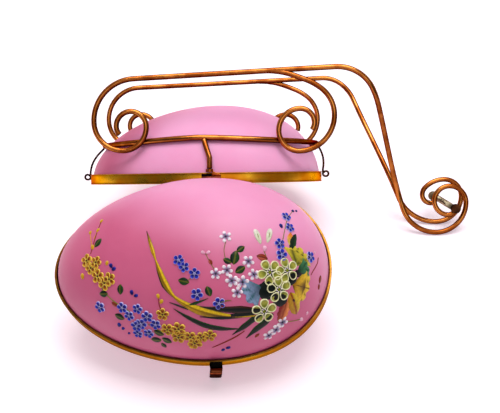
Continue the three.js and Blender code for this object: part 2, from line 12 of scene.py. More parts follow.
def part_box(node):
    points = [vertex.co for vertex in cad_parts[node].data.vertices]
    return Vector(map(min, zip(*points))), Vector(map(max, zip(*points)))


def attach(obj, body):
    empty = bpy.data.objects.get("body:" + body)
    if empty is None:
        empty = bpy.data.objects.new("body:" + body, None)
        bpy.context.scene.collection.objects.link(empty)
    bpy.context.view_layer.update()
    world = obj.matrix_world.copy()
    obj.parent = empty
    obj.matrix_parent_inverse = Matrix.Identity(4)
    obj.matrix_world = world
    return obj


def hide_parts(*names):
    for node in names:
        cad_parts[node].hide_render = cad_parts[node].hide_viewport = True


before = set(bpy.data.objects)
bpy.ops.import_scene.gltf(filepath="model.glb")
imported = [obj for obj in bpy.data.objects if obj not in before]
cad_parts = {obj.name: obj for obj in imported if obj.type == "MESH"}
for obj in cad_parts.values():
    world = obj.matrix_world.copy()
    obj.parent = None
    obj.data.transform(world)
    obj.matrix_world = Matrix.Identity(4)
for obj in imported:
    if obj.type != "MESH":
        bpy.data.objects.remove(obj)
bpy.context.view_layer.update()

MM = 0.001

# The egg, measured over the bezels
EGG_LENGTH = 150.0
EGG_WIDTH = 105.9
EGG_BLUNTNESS = 0.1187
EGG_FULLNESS = 0.0135
DOME_HEIGHT = 50.0
GLASS_WALL = 2.8

# Clearances
SEAT_GAP = 0.3
CLOSING_GAP = 0.3

# Bezels
BEZEL_HEIGHT = 6.4
BEZEL_WALL = 1.2
BEAD_DEPTH = 0.5
EDGE_BEAD = 0.7
BEAD_GROOVE = 0.1
FLANGE_THICKNESS = 0.9
FLANGE_REACH = 0.8

# How the open box stands
BOWL_SLOPE = math.radians(35.2247)
LID_SLOPE = math.radians(24.7753)
HINGE_X = 7.9
KNUCKLE_RADIUS = 2.1

# Wires of the stand
WIRE_DIAMETER = 3.1
HOOP_DIAMETER = 3.4
HOOP_HEIGHT = 27.2
HOOP_DIP = 2.8
HOOP_DIP_POWER = 1.5
HOOP_STANDOFF = 3.0
HOOP_STANDOFF_POWER = 6
RUNNER_SLOPE = 2.3
SPRING_RUN = 24.0
POST_DIAMETER = 3.1
POST_TOP_X = 3.0
POST_FOOT_X = 7.0
POST_BEND = 0.65
COLLAR_RADIUS = 2.2
COLLAR_HEIGHT = 1.8
STAY_DIAMETER = 1.1
STAY_BOW = 1.0
STAY_EYE_RADIUS = 1.6
STAY_EYE_HEIGHT = 4.8
STAY_EYE_RUN = 0.8

# How much fuller than their solids the wires and the stays are drawn
WIRE_FULLNESS = 1.05
STAY_FULLNESS = 1.2

# Catch
CATCH_X = 14.2
CATCH_WIDTH = 6.4
CATCH_THICKNESS = 1.3
CATCH_REACH = 15.2
CATCH_STANDOFF = 1.2
CATCH_FOLD = 0.75
CATCH_FOLD_OUT = 70
CATCH_FOLD_RUN = 0.5
CATCH_FOLD_DOWN = 78
CATCH_TIP_RADIUS = 3.0
CATCH_TIP_TURN = 20
CATCH_TIP_RUN = 0.4
CATCH_CORNER = 2.2
CATCH_CORNER_ROUND = 0.9
CATCH_THIN_EDGE = 0.35
# Along the strip, painted shade covers the neck up to about here, and a painted highlight lies on
# the bend just after it
CATCH_NECK = 4.6
CATCH_NECK_FADE = (-1.2, 0.6)
CATCH_DULL = 0.45
CATCH_DULL_FADE = (1.5, 3.5)
CATCH_RIDGE = 0.12
CATCH_RIDGE_START = 3.0
CATCH_RIDGE_PITCH = 2.4
CATCH_SKEW = 0.1

# Strips on the bowl's band above the hinge
STRIP_BACK = 0.02
STRIP_BEVEL = 0.15
STRIP_BEVEL_HEIGHT = 0.2
STRIP_FADE = 0.5

# The two sides of the stand, with each bend as a radius and the degrees turned
SIDES = {
    "near": {
        "way": -1,
        "handle_y": 1.0,
        "runner_height": 64.7,
        "front_x": -39.0,
        "front": [(25.2, 90), (17.3, 90), (14, 90), (9.2, 90), (8.8, 90), (7, 40)],
        "rear_x": 39.9,
        "rear_run": 9.0,
        "rear": [(37, 40), (20, 50), (21.2, 90), (12.3, 90), (12.9, 90), (8.5, 90), (7, 40)],
        "bend_x": 81.4,
        "bend": (24.1, 64.7),
        "ease_radius": 55.7,
        "leg_angle": 72.9,
        "scroll": [(22.3, 72.9), (19.2, 90), (10.6, 90), (9.6, 90), (9, 90), (4, 90)],
    },
    "far": {
        "way": 1,
        "handle_y": 10.0,
        "runner_height": 68.3,
        "front_x": -49.5,
        "front": [(22, 90), (19, 90), (13, 90), (9.5, 90), (8, 90), (7, 40)],
        "rear_x": 34.8,
        "rear_run": 9.0,
        "rear": [(36, 40), (20, 50), (20.5, 90), (13, 90), (10.8, 90), (8.8, 90), (7, 25)],
        "bend_x": 77.8,
        "bend": (20.9, 43.7),
        "ease_radius": 26.4,
        "leg_angle": 68.7,
        "scroll": [
            (26.3, 68.7), (16.6, 90), (11.1, 90), (17.4, 45), (6.8, 45), (5.5, 90), (2.8, 130)
        ],
    },
}

# The small turn, in radians, over which a slope is taken
TURN_STEP = 1e-3

# How finely the curved pieces are divided
EGG_STEPS = 200
GLASS_STATIONS = 120
GLASS_STEPS = 48
BEZEL_STATIONS = 240
BEAD_STEPS = 8
BAND_STEPS = 8
HOOP_STATIONS = 240
HOOP_ARC_STEPS = 224
WIRE_SIDES = 20
WIRE_STEP_ANGLE = 4.0
REAR_RUN_STEPS = 6
LEG_STEPS = 24
POST_STEPS = 24
STAY_STEPS = 24
CATCH_NECK_STEPS = 4
CATCH_TONGUE_STEPS = 14
CATCH_LANES = 6
STRIP_STEPS = 16
STRIP_TURNS = 721

# Worked out from the values above
WIRE_RADIUS = WIRE_DIAMETER / 2
HOOP_RADIUS = HOOP_DIAMETER / 2
STAY_RADIUS = STAY_DIAMETER / 2
GLASS_FOOT = FLANGE_THICKNESS + SEAT_GAP
GLASS_INSET = BEZEL_WALL + SEAT_GAP

# The two bodies of the frame
BOWL = "bowl_and_stand"
LID = "lid"


def smoothstep(value, low, high):
    share = min(1.0, max(0.0, (value - low) / (high - low)))
    return share * share * (3 - 2 * share)


# Shape of the egg, in the frame of one half: x along the egg, z up from the closing plane


def egg_half_width(cosine, width):
    """Half the width of the plan where x is this share of half the length."""
    sine = math.sqrt(max(0.0, 1 - cosine * cosine))
    swell = 1 + EGG_BLUNTNESS * cosine + EGG_FULLNESS * (2 * cosine * cosine - 1)
    return width / 2 * sine * swell


def widest_half_width(width):
    cosines = [math.cos(math.pi * i / EGG_STEPS) for i in range(EGG_STEPS + 1)]
    return max(egg_half_width(cosine, width) for cosine in cosines)


def egg_size(growth):
    """Length, width and height of the outside of the glass, grown by an offset."""
    length = EGG_LENGTH - 2 * GLASS_INSET + 2 * growth
    width = EGG_WIDTH - 2 * GLASS_INSET + 2 * growth
    return length, width, DOME_HEIGHT - GLASS_FOOT + growth


def dome_point(size, station, around):
    """A point of a dome, from one angle along the egg and one from side to side over it."""
    length, width, height = size
    half = egg_half_width(math.cos(station), width)
    x = length / 2 * math.cos(station)
    rise = half * math.sin(around) * height / (width / 2)
    return x, half * math.cos(around), GLASS_FOOT + rise


def level_half_width(growth, x, height):
    """Half the width of the grown dome at one place along it, at one height."""
    length, width, tall = egg_size(growth)
    cosine = min(1.0, max(-1.0, x / (length / 2)))
    half = egg_half_width(cosine, width)
    rise = (height - GLASS_FOOT) * (width / 2 / tall)
    return math.sqrt(max(0.0, half * half - rise * rise))


def plan_point(angle, offset):
    """A point beside the outline of the bezels, offset outward from it."""
    def at(turn):
        side = math.copysign(1.0, math.sin(turn))
        return np.array([
            EGG_LENGTH / 2 * math.cos(turn),
            side * egg_half_width(math.cos(turn), EGG_WIDTH),
        ])

    along = at(angle + TURN_STEP) - at(angle - TURN_STEP)
    along /= np.linalg.norm(along)
    x, y = at(angle)
    return x + along[1] * offset, y - along[0] * offset


# Places: the hinge pin of the frame carries both halves

HALF_WIDTH = widest_half_width(EGG_WIDTH)
AXIS_TO_MIDDLE = KNUCKLE_RADIUS + SEAT_GAP + HALF_WIDTH
pin_low, pin_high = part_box("hinge_pin")
hinge_point = (pin_low + pin_high) / 2 - Vector((HINGE_X * MM, 0, 0))
lift = CLOSING_GAP / 2 * MM
bowl_place = (
    Matrix.Translation(hinge_point)
    @ Matrix.Rotation(-BOWL_SLOPE, 4, "X")
    @ Matrix.Translation((0, AXIS_TO_MIDDLE * MM, lift))
)
lid_place = (
    Matrix.Translation(hinge_point)
    @ Matrix.Rotation(LID_SLOPE, 4, "X")
    @ Matrix.Translation((0, -AXIS_TO_MIDDLE * MM, lift))
)
PLACES = {BOWL: bowl_place, LID: lid_place}


def placed(points, body):
    """Points of one half, in millimetres, as points of the frame in metres."""
    spots = np.asarray(points, float) * MM
    matrix = np.array(PLACES[body])
    return spots @ matrix[:3, :3].T + matrix[:3, 3]


# Meshes

# In metres: points closer than the first are merged, edges under the second are dissolved
MERGE_DISTANCE = 1e-6
SLIVER_LENGTH = 1e-7

# In degrees: edges that turn by more than this are drawn sharp
SHARP_ANGLE = 40.0
SOFT_SHARP_ANGLE = 60.0


def add_object(name, mesh):
    piece = bpy.data.objects.new(name, mesh)
    bpy.context.scene.collection.objects.link(piece)
    return piece


def mesh_piece(name, points, faces, body, attributes):
    """A smooth closed piece from points in millimetres and their values for each attribute."""
    mesh = bpy.data.meshes.new(name)
    mesh.from_pydata(placed(points, body).tolist(), [], faces)
    for key, values in attributes.items():
        store = mesh.attributes.new(key, "FLOAT", "POINT")
        store.data.foreach_set("value", np.asarray(values, np.float32))
    close_mesh(mesh)
    return add_object(name, mesh)


def close_mesh(mesh, sharp_angle=SHARP_ANGLE):
    """Merge the seams and poles, turn the faces outward and shade all but the sharp edges."""
    work = bmesh.new()
    work.from_mesh(mesh)
    bmesh.ops.remove_doubles(work, verts=work.verts, dist=MERGE_DISTANCE)
    bmesh.ops.dissolve_degenerate(work, edges=work.edges, dist=SLIVER_LENGTH)
    bmesh.ops.recalc_face_normals(work, faces=work.faces)
    work.to_mesh(mesh)
    work.free()
    mesh.shade_smooth()
    mesh.set_sharp_from_angle(angle=math.radians(sharp_angle))


def skin(rows, ring):
    """Quads over rows of equal closed loops. With ring, the last row joins the first."""
    count = len(rows[0])
    faces = []
    for i in range(len(rows) if ring else len(rows) - 1):
        after = (i + 1) % len(rows)
        for j in range(count):
            across = (j + 1) % count
            faces.append((
                i * count + j,
                after * count + j,
                after * count + across,
                i * count + across,
            ))
    return [point for row in rows for point in row], faces


def capped_skin(rows):
    """The skin of a run of closed loops, with a face over each end."""
    points, faces = skin(rows, False)
    count = len(rows[0])
    faces.append(tuple(range(count))[::-1])
    faces.append(tuple(range(len(points) - count, len(points))))
    return points, faces


# Wire paths in the frame of the bowl


def bent_run(start, heading_degrees, moves):
    """A flat path of (None, length) runs and (radius, degrees) bends."""
    place = np.array(start, float)
    points = [place]
    heading = math.radians(heading_degrees)
    for radius, amount in moves:
        ahead = np.array([math.cos(heading), math.sin(heading)])
        if radius is None:
            place = place + ahead * amount
            points.append(place)
            continue
        turn = math.radians(amount)
        left = np.array([-ahead[1], ahead[0]])
        centre = place + left * math.copysign(radius, turn)
        arm = place - centre
        steps = max(1, math.ceil(abs(amount) / WIRE_STEP_ANGLE))
        for i in range(1, steps + 1):
            c, s = math.cos(turn * i / steps), math.sin(turn * i / steps)
            swung = np.array([arm[0] * c - arm[1] * s, arm[0] * s + arm[1] * c])
            points.append(centre + swung)
        place = points[-1]
        heading += turn
    return points


def trimmed(stations, from_start, from_end):
    """A path made shorter by a length at each end."""
    def cut(points, length):
        rest = list(points)
        while len(rest) > 2 and np.linalg.norm(rest[1] - rest[0]) <= length:
            length -= np.linalg.norm(rest[1] - rest[0])
            rest.pop(0)
        step = rest[1] - rest[0]
        rest[0] = rest[0] + step * (length / np.linalg.norm(step))
        return rest

    return cut(cut(stations, from_start)[::-1], from_end)[::-1]


def level_reach(growth, ray, height):
    """How far the grown dome reaches along a ray from its middle, at one height."""
    low, high = 0.0, EGG_LENGTH
    for _ in range(50):
        middle = (low + high) / 2
        if abs(ray[1] * middle) < level_half_width(growth, ray[0] * middle, height):
            low = middle
        else:
            high = middle
    return low


def hoop_point(angle):
    """The hoop lies close to the glass, dips at both ends and stands off at the blunt one."""
    ray = (math.cos(angle), math.sin(angle))
    height = HOOP_HEIGHT - HOOP_DIP * abs(ray[0]) ** HOOP_DIP_POWER
    reach = level_reach(HOOP_RADIUS + SEAT_GAP, ray, height)
    standoff = HOOP_STANDOFF * max(0.0, ray[0]) ** HOOP_STANDOFF_POWER
    return np.array([ray[0] * (reach + standoff), ray[1] * reach, height])


HOOP_ARC = np.array([
    hoop_point(math.pi * i / HOOP_ARC_STEPS) for i in range(HOOP_ARC_STEPS + 1)
])


def hoop_touch(scroll):
    """Where a flat scroll rests against the hoop, and how far out it then lies."""
    reach = WIRE_RADIUS + HOOP_RADIUS + SEAT_GAP
    touch = (0.0, 0.0)
    for point in scroll:
        apart = np.hypot(point[0] - HOOP_ARC[:, 0], point[1] - HOOP_ARC[:, 2])
        near = apart <= reach
        if near.any():
            offsets = HOOP_ARC[near, 1] + np.sqrt(reach * reach - apart[near] ** 2)
            if offsets.max() > touch[1]:
                touch = (point[0], offsets.max())
    return touch


def floor_height(y):
    """Height, in the frame of the bowl, of the middle of a wire that rests on the floor."""
    edge = AXIS_TO_MIDDLE + HALF_WIDTH - BEAD_DEPTH
    hinge_height = edge * math.sin(BOWL_SLOPE) - CLOSING_GAP / 2 * math.cos(BOWL_SLOPE)
    drop = hinge_height - WIRE_RADIUS - (AXIS_TO_MIDDLE + y) * math.sin(BOWL_SLOPE)
    return -drop / math.cos(BOWL_SLOPE) - CLOSING_GAP / 2


def sprung(stations):
    """The rear scroll leaves the middle of the runner and sinks to its own line."""
    run, points = 0.0, []
    for i, point in enumerate(stations):
        run += np.linalg.norm(point - stations[max(i - 1, 0)])
        rise = (WIRE_DIAMETER + SEAT_GAP) * (1 - smoothstep(run, 0, SPRING_RUN))
        points.append(point + np.array([0, rise]))
    return points


def stand_side(side):
    """Stations of the runner with its front scroll and handle leg, and of the rear scroll."""
    slope = math.tan(math.radians(RUNNER_SLOPE))

    def runner_at(x):
        return np.array([x, side["runner_height"] + x * slope])

    def bends(pairs, way):
        return [(radius, way * degrees) for radius, degrees in pairs]

    front = bent_run(runner_at(side["front_x"]), 180 + RUNNER_SLOPE, bends(side["front"], 1))
    rear_start = runner_at(side["rear_x"]) - np.array([0, WIRE_DIAMETER + SEAT_GAP])
    rear_run = [(None, side["rear_run"] / REAR_RUN_STEPS)] * REAR_RUN_STEPS
    rear = sprung(bent_run(rear_start, RUNNER_SLOPE, rear_run + bends(side["rear"], -1)))

    start = runner_at(side["bend_x"])
    ease_turn = side["leg_angle"] + RUNNER_SLOPE - side["bend"][1]
    fall = bends([side["bend"], (side["ease_radius"], ease_turn)], -1)
    probe = bent_run(start, RUNNER_SLOPE, [*fall, *bends(side["scroll"], 1)])
    drop = min(point[1] for point in probe) - floor_height(side["handle_y"])
    leg = drop / math.sin(math.radians(side["leg_angle"]))
    leg_moves = fall + [(None, leg / LEG_STEPS)] * LEG_STEPS
    handle = bent_run(start, RUNNER_SLOPE, [*leg_moves, *bends(side["scroll"], 1)])
    leg_points = bent_run(start, RUNNER_SLOPE, leg_moves)

    front_x, front_offset = hoop_touch(front)
    rear_x, rear_offset = hoop_touch(rear)

    def plane_offset(x):
        share = min(1.0, max(0.0, (x - front_x) / (rear_x - front_x)))
        return side["way"] * (front_offset + (rear_offset - front_offset) * share)

    def flat(point):
        return np.array([point[0], plane_offset(point[0]), point[1]])

    top, foot = leg_points[0][1], leg_points[-1][1]
    main = [flat(point) for point in front[::-1]]
    for i, point in enumerate(handle):
        share = smoothstep(top - point[1], 0, top - foot) if i < len(leg_points) else 1.0
        high = plane_offset(side["bend_x"])
        y = high + (side["handle_y"] - high) * share
        main.append(np.array([point[0], y, point[1]]))
    return main, [flat(point) for point in rear]


def post_stations(way):
    """A post follows the dome from the hoop to its collar, and leans as far as its bend."""
    growth = COLLAR_RADIUS + SEAT_GAP
    foot = BEZEL_HEIGHT + SEAT_GAP + COLLAR_HEIGHT + SEAT_GAP
    stations = []
    for i in range(POST_STEPS + 1):
        height = HOOP_HEIGHT + (foot - HOOP_HEIGHT) * i / POST_STEPS
        x = POST_TOP_X + (POST_FOOT_X - POST_TOP_X) * min(1, i / POST_STEPS / POST_BEND)
        stations.append(np.array([x, way * level_half_width(growth, x, height), height]))
    return trimmed(stations, HOOP_RADIUS + SEAT_GAP, 0)


def stay_stations(way):
    """A stay follows the end of the dome from the hoop down to an eye beside the bezel."""
    tip = hoop_point(0 if way > 0 else math.pi)
    foot_x = EGG_LENGTH / 2 + SEAT_GAP + STAY_RADIUS
    foot_height = BEZEL_HEIGHT + STAY_DIAMETER

    def dome_x(height):
        return level_reach(STAY_RADIUS + SEAT_GAP, (way, 0), height)

    tip_standoff = abs(tip[0]) - dome_x(tip[2])
    foot_standoff = foot_x - dome_x(foot_height)
    flat = []
    for i in range(STAY_STEPS):
        share = i / STAY_STEPS
        height = tip[2] + (foot_height - tip[2]) * share
        standoff = tip_standoff + (foot_standoff - tip_standoff) * share
        bow = STAY_BOW * math.sin(math.pi * share)
        flat.append(np.array([dome_x(height) + standoff + bow, height]))
    eye = [
        (None, foot_height - STAY_EYE_HEIGHT),
        (STAY_EYE_RADIUS, 90),
        (None, STAY_EYE_RUN / 2),
        (STAY_EYE_RADIUS, 180),
        (STAY_EYE_RADIUS, 75),
    ]
    flat += bent_run((foot_x, foot_height), -90, eye)
    stations = [np.array([way * point[0], 0, point[1]]) for point in flat]
    return trimmed(stations, HOOP_RADIUS + SEAT_GAP, 0)


# Geometry node trees


def new_tree(name, inputs):
    """A tree with named inputs, and its group input and output nodes."""
    tree = bpy.data.node_groups.new(name, "GeometryNodeTree")
    for key, kind in inputs:
        tree.interface.new_socket(key, in_out="INPUT", socket_type="NodeSocket" + kind)
    tree.interface.new_socket("Mesh", in_out="OUTPUT", socket_type="NodeSocketGeometry")
    return tree, tree.nodes.new("NodeGroupInput"), tree.nodes.new("NodeGroupOutput")


def grown(name, tree, seed_mesh, values):
    """The plain mesh that a tree makes of a seed mesh."""
    host = add_object(name + "_seed", seed_mesh)
    modifier = host.modifiers.new("grow", "NODES")
    modifier.node_group = tree
    sockets = {
        item.name: item.identifier
        for item in tree.interface.items_tree
        if item.in_out == "INPUT"
    }
    for key, value in values.items():
        modifier[sockets[key]] = value
    bpy.context.view_layer.update()
    graph = bpy.context.evaluated_depsgraph_get()
    mesh = bpy.data.meshes.new_from_object(host.evaluated_get(graph), depsgraph=graph)
    host.modifiers.remove(modifier)
    bpy.data.objects.remove(host)
    mesh.name = name
    return mesh


def drawn_wire_tree():
    """A round wire along a path of edges, with flat ends."""
    inputs = [
        ("Path", "Geometry"),
        ("Radius", "Float"),
        ("Sides", "Int"),
        ("Finish", "Material"),
    ]
    tree, start, end = new_tree("drawn_wire", inputs)
    nodes, link = tree.nodes, tree.links.new
    curve = nodes.new("GeometryNodeMeshToCurve")
    circle = nodes.new("GeometryNodeCurvePrimitiveCircle")
    sweep = nodes.new("GeometryNodeCurveToMesh")
    finish = nodes.new("GeometryNodeSetMaterial")
    realize = nodes.new("GeometryNodeRealizeInstances")
    sweep.inputs["Fill Caps"].default_value = True
    link(start.outputs["Path"], curve.inputs["Mesh"])
    link(start.outputs["Radius"], circle.inputs["Radius"])
    link(start.outputs["Sides"], circle.inputs["Resolution"])
    link(curve.outputs["Curve"], sweep.inputs["Curve"])
    link(circle.outputs["Curve"], sweep.inputs["Profile Curve"])
    link(sweep.outputs["Mesh"], realize.inputs["Geometry"])
    link(realize.outputs["Geometry"], finish.inputs["Geometry"])
    link(start.outputs["Finish"], finish.inputs["Material"])
    link(finish.outputs["Geometry"], end.inputs["Mesh"])
    return tree


def laid_enamel_tree():
    """Flat motifs set on points and laid on the glass, each vertex at its own height."""
    inputs = [
        ("Points", "Geometry"),
        ("Motif", "Object"),
        ("Glass", "Object"),
        ("Size", "Float"),
        ("Finish", "Material"),
    ]
    tree, start, end = new_tree("laid_enamel", inputs)
    nodes, link = tree.nodes, tree.links.new

    def stored(name, kind):
        node = nodes.new("GeometryNodeInputNamedAttribute")
        node.data_type = kind
        node.inputs["Name"].default_value = name
        return node.outputs["Attribute"]

    motif = nodes.new("GeometryNodeObjectInfo")
    glass = nodes.new("GeometryNodeObjectInfo")
    turn = nodes.new("FunctionNodeEulerToRotation")
    scale = nodes.new("ShaderNodeMath")
    scale.operation = "MULTIPLY"
    place = nodes.new("GeometryNodeInstanceOnPoints")
    realize = nodes.new("GeometryNodeRealizeInstances")
    nearest = nodes.new("GeometryNodeProximity")
    nearest.target_element = "FACES"
    normal = nodes.new("GeometryNodeInputNormal")
    slope = nodes.new("GeometryNodeSampleNearestSurface")
    slope.data_type = "FLOAT_VECTOR"
    rise = nodes.new("ShaderNodeMath")
    rise.operation = "MULTIPLY"
    up = nodes.new("ShaderNodeVectorMath")
    up.operation = "SCALE"
    spot = nodes.new("ShaderNodeVectorMath")
    spot.operation = "ADD"
    move = nodes.new("GeometryNodeSetPosition")
    finish = nodes.new("GeometryNodeSetMaterial")

    link(start.outputs["Motif"], motif.inputs["Object"])
    link(start.outputs["Glass"], glass.inputs["Object"])
    link(stored("turn", "FLOAT_VECTOR"), turn.inputs["Euler"])
    link(stored("size", "FLOAT"), scale.inputs[0])
    link(start.outputs["Size"], scale.inputs[1])
    link(start.outputs["Points"], place.inputs["Points"])
    link(motif.outputs["Geometry"], place.inputs["Instance"])
    link(turn.outputs["Rotation"], place.inputs["Rotation"])
    link(scale.outputs["Value"], place.inputs["Scale"])
    link(place.outputs["Instances"], realize.inputs["Geometry"])
    link(glass.outputs["Geometry"], nearest.inputs["Geometry"])
    link(glass.outputs["Geometry"], slope.inputs["Mesh"])
    link(normal.outputs["Normal"], slope.inputs["Value"])
    link(stored("height", "FLOAT"), rise.inputs[0])
    link(start.outputs["Size"], rise.inputs[1])
    link(slope.outputs["Value"], up.inputs[0])
    link(rise.outputs["Value"], up.inputs["Scale"])
    link(nearest.outputs["Position"], spot.inputs[0])
    link(up.outputs["Vector"], spot.inputs[1])
    link(realize.outputs["Geometry"], move.inputs["Geometry"])
    link(spot.outputs["Vector"], move.inputs["Position"])
    link(move.outputs["Geometry"], finish.inputs["Geometry"])
    link(start.outputs["Finish"], finish.inputs["Material"])
    link(finish.outputs["Geometry"], end.inputs["Mesh"])
    return tree


# Materials

PURE_WHITE = (1.0, 1.0, 1.0, 1.0)


def srgb(red, green, blue):
    """A colour given as it is seen, from 0 to 255, as the linear colour of a shader."""
    def linear(value):
        share = value / 255
        return share / 12.92 if share <= 0.04045 else ((share + 0.055) / 1.055) ** 2.4

    return linear(red), linear(green), linear(blue), 1.0


def shader_group(name, inputs, outputs):
    group = bpy.data.node_groups.new(name, "ShaderNodeTree")
    for key, kind, value in inputs:
        socket = group.interface.new_socket(
            key, in_out="INPUT", socket_type="NodeSocket" + kind
        )
        socket.default_value = value
    for key, kind in outputs:
        group.interface.new_socket(key, in_out="OUTPUT", socket_type="NodeSocket" + kind)
    return group, group.nodes.new("NodeGroupInput"), group.nodes.new("NodeGroupOutput")


def object_noise(group, scale_socket, detail):
    place = group.nodes.new("ShaderNodeTexCoord")
    noise = group.nodes.new("ShaderNodeTexNoise")
    noise.inputs["Detail"].default_value = detail
    group.links.new(place.outputs["Object"], noise.inputs["Vector"])
    group.links.new(scale_socket, noise.inputs["Scale"])
    return noise.outputs["Fac"]


def mixed(group, factor, first, second):
    mix = group.nodes.new("ShaderNodeMix")
    mix.data_type = "RGBA"
    group.links.new(factor, mix.inputs["Factor"])
    group.links.new(first, mix.inputs["A"])
    group.links.new(second, mix.inputs["B"])
    return mix.outputs["Result"]


def cloudy_tint_group():
    """Cloudy patches of two colours, and the mask between them."""
    inputs = [
        ("First", "Color", PURE_WHITE),
        ("Second", "Color", PURE_WHITE),
        ("Scale", "Float", 40.0),
        ("Low", "Float", 0.35),
        ("High", "Float", 0.65),
    ]
    group, start, end = shader_group(
        "cloudy_tint", inputs, [("Color", "Color"), ("Mask", "Float")]
    )
    noise = object_noise(group, start.outputs["Scale"], 4.0)
    span = group.nodes.new("ShaderNodeMapRange")
    span.interpolation_type = "SMOOTHSTEP"
    group.links.new(noise, span.inputs["Value"])
    group.links.new(start.outputs["Low"], span.inputs["From Min"])
    group.links.new(start.outputs["High"], span.inputs["From Max"])
    mask = span.outputs["Result"]
    tint = mixed(group, mask, start.outputs["First"], start.outputs["Second"])
    group.links.new(tint, end.inputs["Color"])
    group.links.new(mask, end.inputs["Mask"])
    return group


def fine_relief_group():
    """The small unevenness of a surface, as a normal."""
    inputs = [("Scale", "Float", 400.0), ("Depth", "Float", 0.0001)]
    group, start, end = shader_group("fine_relief", inputs, [("Normal", "Vector")])
    noise = object_noise(group, start.outputs["Scale"], 3.0)
    bump = group.nodes.new("ShaderNodeBump")
    group.links.new(start.outputs["Depth"], bump.inputs["Distance"])
    group.links.new(noise, bump.inputs["Height"])
    group.links.new(bump.outputs["Normal"], end.inputs["Normal"])
    return group


def patina_and_shade_group():
    """Dark patina, and painted shade, where the piece's own attribute of patina and shade is high,
    broken up by noise.
    """
    inputs = [
        ("Color", "Color", PURE_WHITE),
        ("Patina and shade", "Color", PURE_WHITE),
        ("Scale", "Float", 300.0),
        ("Spread", "Float", 0.3),
    ]
    group, start, end = shader_group(
        "patina_and_painted_shade", inputs, [("Color", "Color"), ("Mask", "Float")]
    )
    patina_and_shade = group.nodes.new("ShaderNodeAttribute")
    patina_and_shade.attribute_name = "patina_and_shade"
    noise = object_noise(group, start.outputs["Scale"], 5.0)
    spread = group.nodes.new("ShaderNodeMath")
    spread.operation = "MULTIPLY_ADD"
    group.links.new(noise, spread.inputs[0])
    group.links.new(start.outputs["Spread"], spread.inputs[1])
    group.links.new(patina_and_shade.outputs["Fac"], spread.inputs[2])
    span = group.nodes.new("ShaderNodeMapRange")
    span.inputs["From Min"].default_value = 0.2
    span.inputs["From Max"].default_value = 1.0
    group.links.new(spread.outputs["Value"], span.inputs["Value"])
    mask = span.outputs["Result"]
    tint = mixed(group, mask, start.outputs["Color"], start.outputs["Patina and shade"])
    group.links.new(tint, end.inputs["Color"])
    group.links.new(mask, end.inputs["Mask"])
    return group


CLOUDY_TINT = cloudy_tint_group()
FINE_RELIEF = fine_relief_group()
PATINA_AND_SHADE = patina_and_shade_group()


def new_material(name):
    material = bpy.data.materials.new(name)
    material.use_nodes = True
    return material, material.node_tree, material.node_tree.nodes["Principled BSDF"]


def add_group(tree, group, values):
    node = tree.nodes.new("ShaderNodeGroup")
    node.node_tree = group
    for key, value in values.items():
        node.inputs[key].default_value = value
    return node


def spread_roughness(tree, mask, shader, smooth, rough):
    """Roughness that goes from smooth to rough with a mask."""
    span = tree.nodes.new("ShaderNodeMapRange")
    span.inputs["To Min"].default_value = smooth
    span.inputs["To Max"].default_value = rough
    tree.links.new(mask, span.inputs["Value"])
    tree.links.new(span.outputs["Result"], shader.inputs["Roughness"])


def gilt_metal(name, bright, deep, patina_and_shade_tint, cloud_scale, smooth, rough, spread, relief):
    """Metal in two cloudy tones, darkened by patina and by painted shade where the piece's
    attribute of patina and shade is high, with a fine relief.
    """
    material, tree, shader = new_material(name)
    shader.inputs["Metallic"].default_value = 1.0
    shader.inputs["Specular Tint"].default_value = deep
    cloud = {"First": bright, "Second": deep, "Scale": cloud_scale}
    tint = add_group(tree, CLOUDY_TINT, cloud)
    dark = add_group(tree, PATINA_AND_SHADE, {"Patina and shade": patina_and_shade_tint, "Spread": spread})
    bumps = add_group(tree, FINE_RELIEF, {"Scale": 900.0, "Depth": relief})
    tree.links.new(tint.outputs["Color"], dark.inputs["Color"])
    tree.links.new(dark.outputs["Color"], shader.inputs["Base Color"])
    tree.links.new(bumps.outputs["Normal"], shader.inputs["Normal"])
    spread_roughness(tree, tint.outputs["Mask"], shader, smooth, rough)
    return material


def opaline_glass():
    """Pink glass, painted paler where the piece's own attribute of painted sheen is high: a
    painted sheen and glow.
    """
    material, tree, shader = new_material("pink_opaline")
    shader.inputs["Subsurface Weight"].default_value = 0.2
    shader.inputs["Subsurface Radius"].default_value = (1.0, 0.45, 0.6)
    shader.inputs["Subsurface Scale"].default_value = 0.006
    shader.inputs["Specular IOR Level"].default_value = 0.4
    deep = {"First": srgb(212, 98, 138), "Second": srgb(205, 90, 131), "Scale": 26.0}
    # The tint of the painted sheen and glow
    pale = {"First": srgb(252, 172, 214), "Second": srgb(249, 164, 208), "Scale": 26.0}
    tint = add_group(tree, CLOUDY_TINT, deep)
    light = add_group(tree, CLOUDY_TINT, pale)
    bumps = add_group(tree, FINE_RELIEF, {"Scale": 260.0, "Depth": 0.00004})
    painted_sheen = tree.nodes.new("ShaderNodeAttribute")
    painted_sheen.attribute_name = "painted_sheen"
    both = mixed(tree, painted_sheen.outputs["Fac"], tint.outputs["Color"], light.outputs["Color"])
    tree.links.new(both, shader.inputs["Base Color"])
    tree.links.new(bumps.outputs["Normal"], shader.inputs["Normal"])
    spread_roughness(tree, tint.outputs["Mask"], shader, 0.42, 0.5)
    return material


